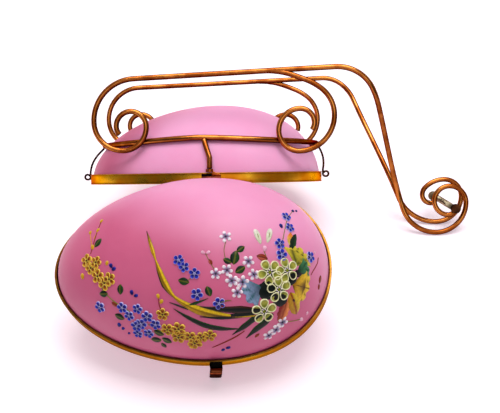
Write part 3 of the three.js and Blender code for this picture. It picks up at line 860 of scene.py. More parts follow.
def raised_enamel():
    """Enamel in the colours that each motif is painted with."""
    material, tree, shader = new_material("raised_enamel")
    shader.inputs["Specular IOR Level"].default_value = 0.16
    shader.inputs["Coat Weight"].default_value = 0.06
    shader.inputs["Coat Roughness"].default_value = 0.15
    paint = tree.nodes.new("ShaderNodeAttribute")
    paint.attribute_name = "paint"
    tint = add_group(tree, CLOUDY_TINT, {"Scale": 900.0})
    tint.inputs["Second"].default_value = (0.8, 0.78, 0.76, 1.0)
    shade = tree.nodes.new("ShaderNodeMix")
    shade.data_type = "RGBA"
    shade.blend_type = "MULTIPLY"
    shade.inputs["Factor"].default_value = 1.0
    bumps = add_group(tree, FINE_RELIEF, {"Scale": 1400.0, "Depth": 0.00008})
    tree.links.new(paint.outputs["Color"], shade.inputs["A"])
    tree.links.new(tint.outputs["Color"], shade.inputs["B"])
    tree.links.new(shade.outputs["Result"], shader.inputs["Base Color"])
    tree.links.new(bumps.outputs["Normal"], shader.inputs["Normal"])
    spread_roughness(tree, tint.outputs["Mask"], shader, 0.3, 0.45)
    return material


OPALINE = opaline_glass()
ENAMEL = raised_enamel()
GILT = gilt_metal(
    "gilt_band",
    bright=srgb(236, 176, 44),
    deep=srgb(210, 128, 20),
    patina_and_shade_tint=srgb(74, 20, 4),
    cloud_scale=60.0,
    smooth=0.24,
    rough=0.4,
    spread=0.35,
    relief=0.00003,
)
# Painted shade: a browner copy of the gilt for the lid's band, which faces the shadowed floor
SHADED_LID_GILT = gilt_metal(
    "lid_gilt_band_shaded",
    bright=srgb(230, 180, 70),
    deep=srgb(192, 138, 52),
    patina_and_shade_tint=srgb(84, 30, 12),
    cloud_scale=60.0,
    smooth=0.24,
    rough=0.4,
    spread=0.35,
    relief=0.00003,
)
# Its dark tint is also the painted shade on the wires' side away from the light
COPPER_GILT = gilt_metal(
    "copper_gilt_wire",
    bright=srgb(208, 126, 58),
    deep=srgb(150, 76, 26),
    patina_and_shade_tint=srgb(64, 8, 2),
    cloud_scale=90.0,
    smooth=0.16,
    rough=0.3,
    spread=0.3,
    relief=0.00004,
)
# Its dark tint is also the painted shade on the stays
DARK_BRASS = gilt_metal(
    "browned_brass",
    bright=srgb(84, 46, 26),
    deep=srgb(36, 18, 12),
    patina_and_shade_tint=srgb(12, 6, 5),
    cloud_scale=160.0,
    smooth=0.3,
    rough=0.5,
    spread=0.5,
    relief=0.00008,
)
# Its dark tint is also the painted shade at the catch's neck
BROWN_COPPER = gilt_metal(
    "browned_copper",
    bright=srgb(156, 80, 46),
    deep=srgb(92, 42, 22),
    patina_and_shade_tint=srgb(8, 6, 6),
    cloud_scale=180.0,
    smooth=0.26,
    rough=0.42,
    spread=0.2,
    relief=0.00006,
)
PALE_BRASS = gilt_metal(
    "pale_worn_brass",
    bright=srgb(196, 180, 150),
    deep=srgb(150, 126, 96),
    patina_and_shade_tint=srgb(80, 56, 36),
    cloud_scale=140.0,
    smooth=0.32,
    rough=0.5,
    spread=0.5,
    relief=0.00006,
)


# Glass and bezels

# Painted sheen and glow: the glass is painted paler between two distances across the egg, on a
# line that leans and curves
SHEEN_MOST = {LID: 0.8, BOWL: 1.0}
SHEEN_LOW = -20.0
SHEEN_HIGH = 32.0
SHEEN_LEAN = 0.5
SHEEN_CURVE = 0.004

# How deep the band and the grooves beside it lie, as shares of the depth of a bead
BAND_EDGE_DEPTH = 0.55
BAND_SWELL = 0.3
GROOVE_DEPTH = 0.8

# How much patina each part of a bezel holds
FLANGE_PATINA = 0.6
BEAD_PATINA = 0.5
BEAD_CROWN_WEAR = 0.4
GROOVE_PATINA = 1.0
BAND_EDGE_PATINA = 0.35
WALL_TOP_PATINA = 0.8
WALL_FOOT_PATINA = 0.9


def painted_glass_sheen(x, y, body):
    """Painted sheen and glow: the glass is painted palest along the hinge side and towards the
    blunt end.
    """
    hingeward = y if body == LID else -y
    place = hingeward + SHEEN_LEAN * x - SHEEN_CURVE * x * x
    return SHEEN_MOST[body] * smoothstep(place, SHEEN_LOW, SHEEN_HIGH)


def glass_shell(name, body):
    """Half an egg of glass: each row runs over the outside and back along the inside."""
    outer, inner = egg_size(0), egg_size(-GLASS_WALL)
    arounds = [math.pi * j / GLASS_STEPS for j in range(GLASS_STEPS + 1)]
    rows = []
    for i in range(GLASS_STATIONS + 1):
        station = math.pi * i / GLASS_STATIONS
        outside = [dome_point(outer, station, around) for around in arounds]
        inside = [dome_point(inner, station, around) for around in arounds]
        rows.append(outside + inside[::-1])
    points, faces = skin(rows, False)
    # Painted sheen and glow on the glass
    painted_sheen = [painted_glass_sheen(point[0], point[1], body) for point in points]
    piece = mesh_piece(name, points, faces, body, {"painted_sheen": painted_sheen})
    piece.data.materials.append(OPALINE)
    return piece


def bezel_profile():
    """(offset, height, patina) round the section of the band: a flange and two thin beads."""
    inner = -(GLASS_INSET + GLASS_WALL + FLANGE_REACH)
    groove = -GROOVE_DEPTH * BEAD_DEPTH
    band_height = BEZEL_HEIGHT - 2 * EDGE_BEAD - 2 * BEAD_GROOVE

    def bead(low):
        arc = []
        for i in range(BEAD_STEPS + 1):
            angle = math.pi * i / BEAD_STEPS
            offset = BEAD_DEPTH / 2 * (math.sin(angle) - 1)
            height = low + EDGE_BEAD / 2 * (1 - math.cos(angle))
            arc.append((offset, height, BEAD_PATINA * (1 - BEAD_CROWN_WEAR * math.sin(angle))))
        return arc

    band = []
    for i in range(BAND_STEPS + 1):
        share = i / BAND_STEPS
        swell = math.sin(math.pi * share)
        offset = -BAND_EDGE_DEPTH * BEAD_DEPTH + BAND_SWELL * BEAD_DEPTH * swell
        height = EDGE_BEAD + BEAD_GROOVE + band_height * share
        band.append((offset, height, BAND_EDGE_PATINA * (1 - swell) ** 2))
    return [
        (inner, 0.0, FLANGE_PATINA),
        *bead(0.0),
        (groove, EDGE_BEAD + BEAD_GROOVE / 2, GROOVE_PATINA),
        *band,
        (groove, BEZEL_HEIGHT - EDGE_BEAD - BEAD_GROOVE / 2, GROOVE_PATINA),
        *bead(BEZEL_HEIGHT - EDGE_BEAD),
        (-BEZEL_WALL, BEZEL_HEIGHT, WALL_TOP_PATINA),
        (-BEZEL_WALL, FLANGE_THICKNESS, WALL_FOOT_PATINA),
        (inner, FLANGE_THICKNESS, FLANGE_PATINA),
    ]


def bezel_ring(name, body):
    """The section of the bezel carried round the egg."""
    profile = bezel_profile()
    rows, patina_and_shade = [], []
    for i in range(BEZEL_STATIONS):
        angle = 2 * math.pi * (i + 0.5) / BEZEL_STATIONS
        row = []
        for offset, height, dark in profile:
            x, y = plan_point(angle, offset)
            row.append((x, y, height))
            patina_and_shade.append(dark)
        rows.append(row)
    points, faces = skin(rows, True)
    piece = mesh_piece(name, points, faces, body, {"patina_and_shade": patina_and_shade})
    # The lid's band takes the copy of the gilt with painted shade
    piece.data.materials.append(SHADED_LID_GILT if body == LID else GILT)
    return piece


for half, body in (("bowl", BOWL), ("lid", LID)):
    glass = glass_shell(half + "_opaline", body)
    band = bezel_ring(half + "_band", body)
    for piece, node, slot in (
        (glass, half + "_glass", "opal_glass"),
        (band, half + "_bezel", "gilt"),
    ):
        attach(piece, body)
        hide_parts(node)
lid_opaline = bpy.data.objects["lid_opaline"]


# Wires

# Painted shade: the wires are painted bright on the side turned towards this direction of the
# light, and darker by this much on the side turned away from it
LIT_SIDE = np.array([-0.5, -0.15, 0.853])
SHADE_START = 0.66
SHADE_STRENGTH = 0.9

WIRE_TREE = drawn_wire_tree()


def paint_shade_away_from_light(mesh):
    """Painted shade: bright on the side turned towards the light and darker on the side turned
    away.
    """
    normals = np.empty(3 * len(mesh.vertices), np.float32)
    mesh.vertices.foreach_get("normal", normals)
    away = np.clip(SHADE_START - normals.reshape(-1, 3) @ LIT_SIDE, 0, 1)
    store = mesh.attributes.new("patina_and_shade", "FLOAT", "POINT")
    store.data.foreach_set("value", (SHADE_STRENGTH * away).astype(np.float32))


def wire(name, stations, radius, material, node):
    """One wire of the stand in the place of its CAD node."""
    spots = placed(stations, BOWL)
    path = bpy.data.meshes.new(name + "_path")
    edges = [(i, i + 1) for i in range(len(spots) - 1)]
    path.from_pydata(spots.tolist(), edges, [])
    values = {"Radius": radius * MM, "Sides": WIRE_SIDES, "Finish": material}
    mesh = grown(name, WIRE_TREE, path, values)
    close_mesh(mesh)
    # Painted shade on the side of the wire turned away from the light
    paint_shade_away_from_light(mesh)
    piece = add_object(name, mesh)
    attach(piece, BOWL)
    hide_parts(node)


hoop_stations = [
    hoop_point(math.pi / 2 + 2 * math.pi * i / HOOP_STATIONS)
    for i in range(HOOP_STATIONS + 1)
]
wire(
    "belt_hoop_wire",
    trimmed(hoop_stations, SEAT_GAP / 2, SEAT_GAP / 2),
    HOOP_RADIUS,
    COPPER_GILT,
    "belt_hoop",
)
for side_name, side in SIDES.items():
    for part, stations in zip(("_runner", "_rear_scroll"), stand_side(side)):
        radius = WIRE_FULLNESS * WIRE_RADIUS
        name = side_name + part
        wire(name + "_wire", stations, radius, COPPER_GILT, name)
for post, way in (("hinge_post", -1), ("front_post", 1)):
    wire(post + "_wire", post_stations(way), POST_DIAMETER / 2, COPPER_GILT, post)
for stay, way in (("thin_end_stay", -1), ("blunt_end_stay", 1)):
    radius = STAY_FULLNESS * STAY_RADIUS
    wire(stay + "_wire", stay_stations(way), radius, DARK_BRASS, stay)


# Catch


def catch_path():
    """The strip from the top of the bezel over its edge, down the band and out to the tip."""
    out = CATCH_STANDOFF + CATCH_THICKNESS / 2
    neck_step = (BEZEL_HEIGHT - CATCH_FOLD) / CATCH_NECK_STEPS
    tongue_step = (CATCH_REACH - CATCH_TIP_RUN / 2) / CATCH_TONGUE_STEPS
    moves = [
        (None, out - CATCH_FOLD),
        (CATCH_FOLD, -90),
        *[(None, neck_step)] * CATCH_NECK_STEPS,
        (CATCH_FOLD, CATCH_FOLD_OUT),
        (None, CATCH_FOLD_RUN),
        (CATCH_FOLD, -CATCH_FOLD_DOWN),
        *[(None, tongue_step)] * CATCH_TONGUE_STEPS,
        (CATCH_TIP_RADIUS, -CATCH_TIP_TURN),
        (None, CATCH_TIP_RUN),
    ]
    return bent_run((0.0, BEZEL_HEIGHT + CATCH_THICKNESS / 2), 0, moves)


def catch_shade_and_highlight(length, ridge):
    """Painted shade, black at the neck, and a painted highlight, bright over the bend; past the
    bend the tongue is darker, and darkest between its ridges.
    """
    neck_start, neck_end = [CATCH_NECK + fade for fade in CATCH_NECK_FADE]
    dull_start, dull_end = [CATCH_NECK + fade for fade in CATCH_DULL_FADE]
    neck = 1 - smoothstep(length, neck_start, neck_end)
    dull = CATCH_DULL * smoothstep(length, dull_start, dull_end)
    return max(neck, dull * (1 - ridge / CATCH_RIDGE))


def catch_tongue():
    """The strip folded over the bezel: a neck in painted shade, a painted highlight on the bend
    and a rounded end.
    """
    path = catch_path()
    lengths = [0.0]
    for before, after in zip(path, path[1:]):
        lengths.append(lengths[-1] + np.linalg.norm(after - before))
    lanes = [
        math.sin(math.pi / 2 * lane / CATCH_LANES)
        for lane in range(-CATCH_LANES, CATCH_LANES + 1)
    ]
    rows, patina_and_shade = [], []
    for i, (place, length) in enumerate(zip(path, lengths)):
        ahead = path[min(i + 1, len(path) - 1)] - path[max(i - 1, 0)]
        ahead /= np.linalg.norm(ahead)
        outward = np.array([-ahead[1], ahead[0]])
        corner = max(0.0, 1 - (lengths[-1] - length) / CATCH_CORNER)
        rounding = CATCH_CORNER * (1 - math.sqrt(1 - corner * corner))
        half = CATCH_WIDTH / 2 - rounding * CATCH_CORNER_ROUND
        ridge = 0.0
        if length > CATCH_NECK + CATCH_RIDGE_START:
            wave = math.sin(length * 2 * math.pi / CATCH_RIDGE_PITCH)
            ridge = CATCH_RIDGE * max(0.0, wave)
        skew = CATCH_SKEW * max(0.0, length - CATCH_NECK)
        row = []
        for face in (1, -1):
            for lane in lanes if face > 0 else lanes[::-1]:
                thick = CATCH_THICKNESS / 2 * (1 - CATCH_THIN_EDGE * abs(lane) ** 6)
                spot = place + outward * (face * thick + (ridge if face > 0 else 0))
                x = CATCH_X + half * lane - skew
                row.append((x, -(HALF_WIDTH + spot[0]), spot[1]))
                # Painted shade at the neck and a painted highlight on the bend
                patina_and_shade.append(catch_shade_and_highlight(length, ridge))
        rows.append(row)
    points, faces = capped_skin(rows)
    piece = mesh_piece("catch_tongue", points, faces, LID, {"patina_and_shade": patina_and_shade})
    piece.data.materials.append(BROWN_COPPER)
    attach(piece, LID)
    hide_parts("lid_catch")


catch_tongue()


# Hinge strips on the bowl's band


def hinge_strip(name, material, reach, low, high, lean, proud, dark):
    """A thin strip along the band above the hinge, whose top edge leans towards its end."""
    turns = np.linspace(math.pi, 2 * math.pi, STRIP_TURNS)
    along_band = [plan_point(turn, 0)[0] for turn in turns]
    rows, patina_and_shade = [], []
    for i in range(STRIP_STEPS + 1):
        share = i / STRIP_STEPS
        turn = np.interp(HINGE_X + reach[0] + (reach[1] - reach[0]) * share, along_band, turns)
        top = high - lean * share
        section = [
            (STRIP_BACK, low),
            (proud - STRIP_BEVEL, low),
            (proud, low + STRIP_BEVEL_HEIGHT),
            (proud, top - STRIP_BEVEL_HEIGHT),
            (proud - STRIP_BEVEL, top),
            (STRIP_BACK, top),
        ]
        row = []
        for offset, height in section:
            x, y = plan_point(turn, offset)
            row.append((x, y, height))
            patina_and_shade.append(dark * (1 - STRIP_FADE * (height - low) / (high - low)))
        rows.append(row)
    points, faces = capped_skin(rows)
    piece = mesh_piece(name, points, faces, BOWL, {"patina_and_shade": patina_and_shade})
    piece.data.materials.append(material)
    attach(piece, BOWL)


hinge_strip(
    "hinge_strip",
    BROWN_COPPER,
    reach=(-5.6, 5.6),
    low=2.4,
    high=6.0,
    lean=0.3,
    proud=0.6,
    dark=1.4,
)
hinge_strip(
    "hinge_tab",
    COPPER_GILT,
    reach=(0.6, 5.4),
    low=4.6,
    high=7.3,
    lean=1.9,
    proud=1.0,
    dark=0.1,
)


# Small CAD pieces that keep their solids

for node, material in (
    ("handle_bar", PALE_BRASS),
    ("near_bar_cap", DARK_BRASS),
    ("far_bar_cap", PALE_BRASS),
    ("hinge_post_collar", COPPER_GILT),
    ("front_post_collar", COPPER_GILT),
    ("catch_stud", GILT),
    ("bowl_hinge_leaf", BROWN_COPPER),
    ("lid_hinge_leaf", DARK_BRASS),
    ("hinge_pin", DARK_BRASS),
):
    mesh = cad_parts[node].data
    mesh.materials.clear()
    mesh.materials.append(material)


# Enamel: painted dabs in millimetres, laid on the lid's glass

# The height of the rims of a dab, which reach a little into the glass
SINK = -0.15

# How a stroke is divided along each span and across its width
RIBBON_STEPS = 6
RIBBON_LANES = (-1.0, -0.72, -0.3, 0.0, 0.3, 0.72, 1.0)

# How each of many round motifs is turned on from the last, in degrees, and varied in size
SPOT_TURN = 47.0
SPOT_VARIETY = 0.08

# How finely the foot of a fan is divided, and the share of a leaf over which its vein fades
FAN_FOOT_STEPS = 6
VEIN_WIDTH = 0.12


def tinted(first, second, share):
    """A colour between two, at a share that is kept from 0 to 1."""
    share = min(1.0, max(0.0, share))
    return tuple(a + (b - a) * share for a, b in zip(first, second))


def graded(stops, share):
    """A colour from (share, colour) stops in rising order."""
    for (low, first), (high, second) in zip(stops, stops[1:]):
        if share <= high:
            return tinted(first, second, (share - low) / (high - low))
    return stops[-1][1]


def teardrop(length, width, narrow, steps):
    """A petal from its base at the origin up to its round tip."""
    points = []
    for i in range(steps):
        turn = 2 * math.pi * i / steps
        share = (1 - math.cos(turn)) / 2
        x = width / 2 * math.sin(turn) * (narrow + (1 - narrow) * share ** 0.7) * 1.15
        points.append(np.array([x, length * share]))
    return points


def leaf_outline(length, width, sway=0.0, teeth=0, depth=0.0, steps=15):
    """A pointed leaf along x, its edges notched by teeth."""
    def edge(share, side):
        notch = 1 - depth * (0.5 + 0.5 * math.cos(2 * math.pi * teeth * share))
        half = width / 2 * math.sin(math.pi * share) ** 0.75 * (notch if teeth else 1.0)
        return np.array([length * (share - 0.5), side * half + sway * math.sin(math.pi * share)])

    upper = [edge(i / steps, 1) for i in range(steps)]
    lower = [edge(1 - i / steps, -1) for i in range(steps)]
    return (upper + lower)[::-1]


def fan_outline(inner, outer, spread, lobes, depth, steps=28):
    """A lobed fan about the origin that opens along x."""
    points = []
    for i in range(steps + 1):
        share = i / steps
        turn = math.radians(spread) * (share - 0.5)
        reach = outer * (1 - depth * abs(math.sin(math.pi * lobes * share)) ** 4)
        points.append(reach * np.array([math.cos(turn), math.sin(turn)]))
    for i in range(FAN_FOOT_STEPS):
        turn = math.radians(spread) * (0.5 - (i + 0.5) / FAN_FOOT_STEPS)
        points.append(inner * np.array([math.cos(turn), math.sin(turn)]))
    return points


def spun(outline, degrees, shift=(0.0, 0.0)):
    """An outline turned about the origin, then shifted."""
    turn = math.radians(degrees)
    c, s = math.cos(turn), math.sin(turn)
    return [np.array([x * c - y * s + shift[0], x * s + y * c + shift[1]]) for x, y in outline]


def dab(outline, rings, paint):
    """Rings of (share, height) from the middle to the rim, closed underneath."""
    outline = np.array(outline)
    middle = outline.mean(axis=0)
    count = len(outline)
    spots, heights, tints = [middle], [rings[0][1]], [paint(*middle, 0.0)]
    for share, height in [*rings, (1.0, SINK)]:
        for x, y in middle + (outline - middle) * share:
            spots.append(np.array([x, y]))
            heights.append(height)
            tints.append(paint(x, y, share))
    faces = [(0, 1 + j, 1 + (j + 1) % count) for j in range(count)]
    for i in range(len(rings)):
        for j in range(count):
            across = (j + 1) % count
            low, high = 1 + i * count, 1 + (i + 1) * count
            faces.append((low + j, high + j, high + across, low + across))
    faces.append(tuple(range(1 + len(rings) * count, 1 + (len(rings) + 1) * count))[::-1])
    points = [(x, y, 0.0) for x, y in spots]
    return points, faces, heights, tints


def dome_spot(x, around):
    """A point of the lid's glass, in millimetres, and its outward normal."""
    size = egg_size(0)
    station = math.acos(min(1.0, max(-1.0, x / (size[0] / 2))))
    turn = math.radians(around)
    spot = np.array(dome_point(size, station, turn))
    along = np.array(dome_point(size, station - TURN_STEP, turn)) - spot
    across = np.array(dome_point(size, station, turn + TURN_STEP)) - spot
    normal = np.cross(across, along)
    normal /= np.linalg.norm(normal)
    return spot, normal


def ribbon(anchors, widths, rise, paint):
    """A painted stroke through (x, around) anchors on the lid, in the frame of the lid."""
    anchors = np.array(anchors, float)
    spans = len(anchors) - 1
    steps = RIBBON_STEPS * spans
    padded = np.vstack([2 * anchors[0] - anchors[1], anchors, 2 * anchors[-1] - anchors[-2]])
    rows, normals = [], []
    for i in range(steps + 1):
        span = min(spans - 1, i // RIBBON_STEPS)
        t = i / RIBBON_STEPS - span
        a, b, c, d = padded[span:span + 4]
        place = 0.5 * (
            2 * b + (c - a) * t + (2 * a - 5 * b + 4 * c - d) * t * t
            + (3 * b - a - 3 * c + d) * t ** 3
        )
        spot, normal = dome_spot(*place)
        rows.append(spot)
        normals.append(normal)
    points, heights, tints = [], [], []
    marks = np.linspace(0, 1, len(widths))
    for i, (spot, normal) in enumerate(zip(rows, normals)):
        ahead = rows[min(i + 1, steps)] - rows[max(i - 1, 0)]
        side = np.cross(normal, ahead)
        side /= np.linalg.norm(side)
        half = np.interp(i / steps, marks, widths) / 2
        for lane in RIBBON_LANES:
            points.append(spot + side * half * lane)
            crown = rise * math.sqrt(max(0.0, 1 - lane * lane))
            heights.append(crown if abs(lane) < 1 else SINK)
            tints.append(paint(i / steps, lane))
    count = len(RIBBON_LANES)
    faces = [
        (i * count + j, i * count + j + 1, (i + 1) * count + j + 1, (i + 1) * count + j)
        for i in range(steps)
        for j in range(count - 1)
    ]
    rim = [i * count for i in range(steps + 1)]
    rim += [i * count + count - 1 for i in range(steps, -1, -1)]
    faces.append(tuple(rim))
    faces.append(tuple(range(count))[::-1])
    faces.append(tuple(steps * count + j for j in range(count)))
    return points, faces, heights, tints


def motif_mesh(name, dabs):
    """One mesh of many dabs, in millimetres, with the height and paint of each point."""
    points, faces, heights, tints = [], [], [], []
    for spots, sides, rises, colours in dabs:
        start = len(points)
        points += [tuple(map(float, spot)) for spot in spots]
        faces += [tuple(start + corner for corner in face) for face in sides]
        heights += rises
        tints += colours
    mesh = bpy.data.meshes.new(name)
    mesh.from_pydata(points, [], faces)
    height = mesh.attributes.new("height", "FLOAT", "POINT")
    height.data.foreach_set("value", np.asarray(heights, np.float32))
    paint = mesh.attributes.new("paint", "FLOAT_COLOR", "POINT")
    paint.data.foreach_set("color", np.asarray(tints, np.float32).ravel())
    return mesh


LAY_TREE = laid_enamel_tree()


def enamelled(name, dabs, spots=None):
    """Copies of one motif on the lid, at spots of (x, around, degrees, size).

    Without spots the dabs are laid once, where they already are on the lid.
    """
    motif = add_object(name + "_motif", motif_mesh(name + "_motif", dabs))
    places, turns, sizes = [], [], []
    for x, around, degrees, size in spots or ():
        spot, normal = dome_spot(x, around)
        along = np.array([1.0, 0.0, 0.0]) - normal * normal[0]
        along /= np.linalg.norm(along)
        axes = np.column_stack([along, np.cross(normal, along), normal])
        world = np.array(PLACES[LID])[:3, :3] @ axes
        turn = Matrix(world.tolist()) @ Matrix.Rotation(math.radians(degrees), 3, "Z")
        places.append(placed([spot], LID)[0].tolist())
        turns.append(list(turn.to_euler()))
        sizes.append(size)
    if spots is None:
        places.append(list(PLACES[LID].to_translation()))
        turns.append(list(PLACES[LID].to_euler()))
        sizes.append(1.0)
    seed = bpy.data.meshes.new(name + "_spots")
    seed.from_pydata(places, [], [])
    turn_store = seed.attributes.new("turn", "FLOAT_VECTOR", "POINT")
    turn_store.data.foreach_set("vector", np.asarray(turns, np.float32).ravel())
    size_store = seed.attributes.new("size", "FLOAT", "POINT")
    size_store.data.foreach_set("value", np.asarray(sizes, np.float32))
    values = {"Motif": motif, "Glass": lid_opaline, "Size": MM, "Finish": ENAMEL}
    mesh = grown(name, LAY_TREE, seed, values)
    bpy.data.objects.remove(motif)
    close_mesh(mesh, SOFT_SHARP_ANGLE)
    piece = add_object(name, mesh)
    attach(piece, LID)


def plain(tint):
    """Paint of one colour."""
    return lambda x, y, share: tint


def flower(petals, petal, rings, paint, middle):
    """Equal petals about a middle of further dabs."""
    dabs = []
    for i in range(petals):
        turn = 360 / petals * i

        def petal_paint(x, y, share, turn=turn):
            back = spun([(x, y)], -turn)[0]
            return paint(back[1], share)

        dabs.append(dab(spun(petal, turn), rings, petal_paint))
    return dabs + middle


def round_dab(radius, height, tint, shift=(0.0, 0.0)):
    """A round drop of one colour."""
    outline = spun(teardrop(2 * radius, 2 * radius, 1.0, 12), 0, (shift[0], shift[1] - radius))
    return dab(outline, [(0.5, height), (0.85, height * 0.7)], plain(tint))


# Colours of the enamel
CREAM = srgb(252, 248, 200)
OLIVE = srgb(120, 128, 30)
MOSS_YELLOW = srgb(184, 180, 78)
YELLOW_GREEN = srgb(214, 214, 90)
DARK_GREEN = srgb(12, 34, 18)
LEAF_GREEN = srgb(24, 66, 22)
BLACK_GREEN = srgb(8, 18, 14)
DEEP_BLUE = srgb(16, 12, 104)
BLUE = srgb(44, 60, 216)
PALE_LILAC = srgb(206, 200, 250)
WHITE = srgb(255, 240, 250)
GREY_LILAC = srgb(150, 132, 176)
GOLD = srgb(224, 162, 30)
PALE_GOLD = srgb(255, 222, 92)
RUST = srgb(140, 44, 16)
OCHRE = srgb(214, 160, 20)
BROWN = srgb(70, 26, 8)
YELLOW = srgb(240, 196, 28)
TEAL = srgb(16, 92, 92)
PALE_BLUE = srgb(150, 176, 216)
ORANGE = srgb(232, 120, 40)

# Rings of (share, height) for a soft dab, and for a petal with a raised rim
SOFT_RINGS = [(0.35, 0.55), (0.7, 0.5), (0.9, 0.3)]
RIM_RINGS = [(0.4, 0.25), (0.68, 0.3), (0.84, 0.75), (0.95, 0.6)]


def primrose():
    """Cream petals with olive throats about a ring of white dots."""
    stops = [(1.0, DARK_GREEN), (2.6, OLIVE), (5.0, MOSS_YELLOW), (6.6, OLIVE)]

    def paint(y, share):
        return tinted(graded(stops, y), CREAM, (share - 0.7) / 0.1)

    back = dab(
        [3.6 * np.array([math.cos(t / 3), math.sin(t / 3)]) for t in range(18)],
        [(0.6, 0.2), (0.9, 0.15)],
        plain(DARK_GREEN),
    )
    middle = [round_dab(1.0, 0.55, OLIVE)]
    for i in range(6):
        turn = math.radians(60 * i + 20)
        shift = (1.25 * math.cos(turn), 1.25 * math.sin(turn))
        middle.append(round_dab(0.36, 0.85, WHITE, shift))
    petal = spun(teardrop(5.3, 4.7, 0.6, 22), 0, (0, 1.35))
    return [back] + flower(5, petal, RIM_RINGS, paint, middle)


def blue_flower():
    """Blue petals with lilac rims about a lilac eye."""
    def paint(y, share):
        inside = graded([(0.8, DEEP_BLUE), (2.4, BLUE)], y)
        return tinted(inside, PALE_LILAC, (share - 0.8) / 0.14)

    middle = [round_dab(0.62, 0.75, PALE_LILAC), round_dab(0.3, 0.95, DEEP_BLUE)]
    petal = spun(teardrop(2.5, 2.3, 0.4, 14), 0, (0, 0.3))
    return flower(5, petal, RIM_RINGS, paint, middle)


def white_flower():
    """White petals with grey feet about a dark eye."""
    def paint(y, share):
        return graded([(1.0, GREY_LILAC), (1.9, WHITE)], y)

    middle = [round_dab(0.5, 0.7, srgb(60, 60, 80))]
    petal = spun(teardrop(2.6, 1.9, 0.4, 14), 0, (0, 0.3))
    return flower(5, petal, SOFT_RINGS, paint, middle)


def gold_flower():
    """Gold petals with brown feet and pale rims on a brown ground."""
    def paint(y, share):
        inside = graded([(0.6, BROWN), (1.6, RUST), (3.0, GOLD)], y)
        return tinted(inside, PALE_GOLD, (share - 0.76) / 0.12)

    back = round_dab(2.5, 0.15, BROWN)
    middle = [round_dab(0.62, 0.6, BROWN)]
    petal = spun(teardrop(2.9, 2.5, 0.4, 14), 0, (0, 0.4))
    return [back] + flower(5, petal, RIM_RINGS, paint, middle)


def leaf(length, width, upper, lower, vein, sway=0.0, teeth=0, depth=0.0):
    """A leaf along x, its two halves in two colours beside a vein."""
    def paint(x, y, share):
        middle = sway * math.sin(math.pi * min(1, max(0, x / length + 0.5)))
        tone = tinted(lower, upper, (y - middle) / width * 2 + 0.5)
        return tinted(vein, tone, abs(y - middle) / (VEIN_WIDTH * width))

    outline = leaf_outline(length, width, sway, teeth, depth)
    return dab(outline, [(0.3, 0.45), (0.6, 0.42), (0.85, 0.3)], paint)


def bud(length, width, base, tip):
    """A small bud that turns towards a second colour at its tip."""
    def paint(x, y, share):
        return tinted(base, tip, y / length)

    return dab(spun(teardrop(length, width, 0.6, 14), 0, (0, -length / 2)), SOFT_RINGS, paint)


def fan_leaf(inner, outer, spread, lobes, depth, near, far, vein, veins):
    """A lobed leaf with veins that run out from its foot."""
    def paint(x, y, share):
        reach, turn = math.hypot(x, y), math.atan2(y, x)
        tone = tinted(near, far, (reach - inner) / (outer - inner))
        stripe = abs(math.sin(veins * math.pi * (turn / math.radians(spread) + 0.5)))
        return tinted(vein, tone, 2.2 * stripe - 0.2 + 0.6 * (reach / outer - 0.5))

    outline = fan_outline(inner, outer, spread, lobes, depth)
    rings = [(0.25, 0.4), (0.5, 0.42), (0.72, 0.42), (0.9, 0.35)]
    return dab(outline, rings, paint)


def spots_of(places, size, first=0.0):
    """Spots for round motifs, each turned on from the last one and a little varied in size."""
    return [
        (x, around, first + SPOT_TURN * i, size * (1 + SPOT_VARIETY * math.sin(5.0 * i)))
        for i, (x, around) in enumerate(places)
    ]


# The spray, from its stems and blades up to the flowers in front


def stroke_paint(edge, middle):
    """Paint of a stroke with one colour at its edges and one in the middle."""
    return lambda along, lane: tinted(middle, edge, (abs(lane) - 0.35) / 0.5)


def long_blade_paint(along, lane):
    """Ochre and yellow halves beside a brown vein, dark at the edges, the bend and the fork."""
    tone = tinted(YELLOW, OCHRE, 0.5 - lane * 1.6)
    tone = tinted(BROWN, tone, abs(lane - 0.05) / 0.22)
    tone = tinted(tone, DARK_GREEN, (abs(lane) - 0.66) / 0.3)
    tone = tinted(tone, BROWN, 1.1 - along / 0.14)
    bend = math.exp(-((along - 0.42) / 0.14) ** 2)
    tone = tinted(tone, BLACK_GREEN, bend * max(0.0, -lane) * 1.8)
    fork = math.exp(-((along - 0.85) / 0.12) ** 2) * math.exp(-((lane + 0.35) / 0.25) ** 2)
    return tinted(tone, BLACK_GREEN, fork)


def stem(anchors, width, tint):
    """A thin stroke of one width and one colour."""
    return ribbon(anchors, [width, width], 0.3, lambda along, lane: tint)


# Stems as their (x, around) anchors, width and colour
THIN_STEMS = [
    ([(-45.0, 68.5), (-46.2, 78.0), (-47.4, 88.0), (-48.6, 97.0)], 0.45, RUST),
    ([(-50.5, 76.5), (-49.0, 86.0), (-48.2, 93.0)], 0.4, GOLD),
    ([(-46.0, 77.5), (-47.6, 84.0)], 0.4, GOLD),
    ([(-44.0, 118.0), (-40.0, 127.0), (-34.5, 133.0), (-27.0, 138.0)], 0.5, OLIVE),
    ([(-12.1, 127.0), (-11.6, 132.0), (-9.8, 138.0)], 0.45, RUST),
    ([(-18.0, 145.0), (-12.0, 149.0), (-5.0, 150.5), (5.0, 152.0)], 0.5, OLIVE),
    ([(20.9, 95.5), (20.2, 101.0), (21.5, 108.0)], 0.35, OLIVE),
    ([(11.3, 102.5), (13.6, 107.5), (16.4, 112.5)], 0.35, OLIVE),
    ([(38.9, 98.0), (40.3, 103.0), (41.2, 108.0)], 0.45, OLIVE),
    ([(54.0, 59.0), (51.2, 72.0), (49.6, 84.0), (48.2, 96.0)], 0.4, OLIVE),
    ([(66.9, 97.0), (66.0, 106.0), (62.8, 117.0)], 0.45, RUST),
    ([(57.7, 157.5), (52.0, 153.0), (47.0, 148.0)], 0.35, OLIVE),
    ([(0.5, 118.0), (6.0, 115.0)], 0.3, OLIVE),
]
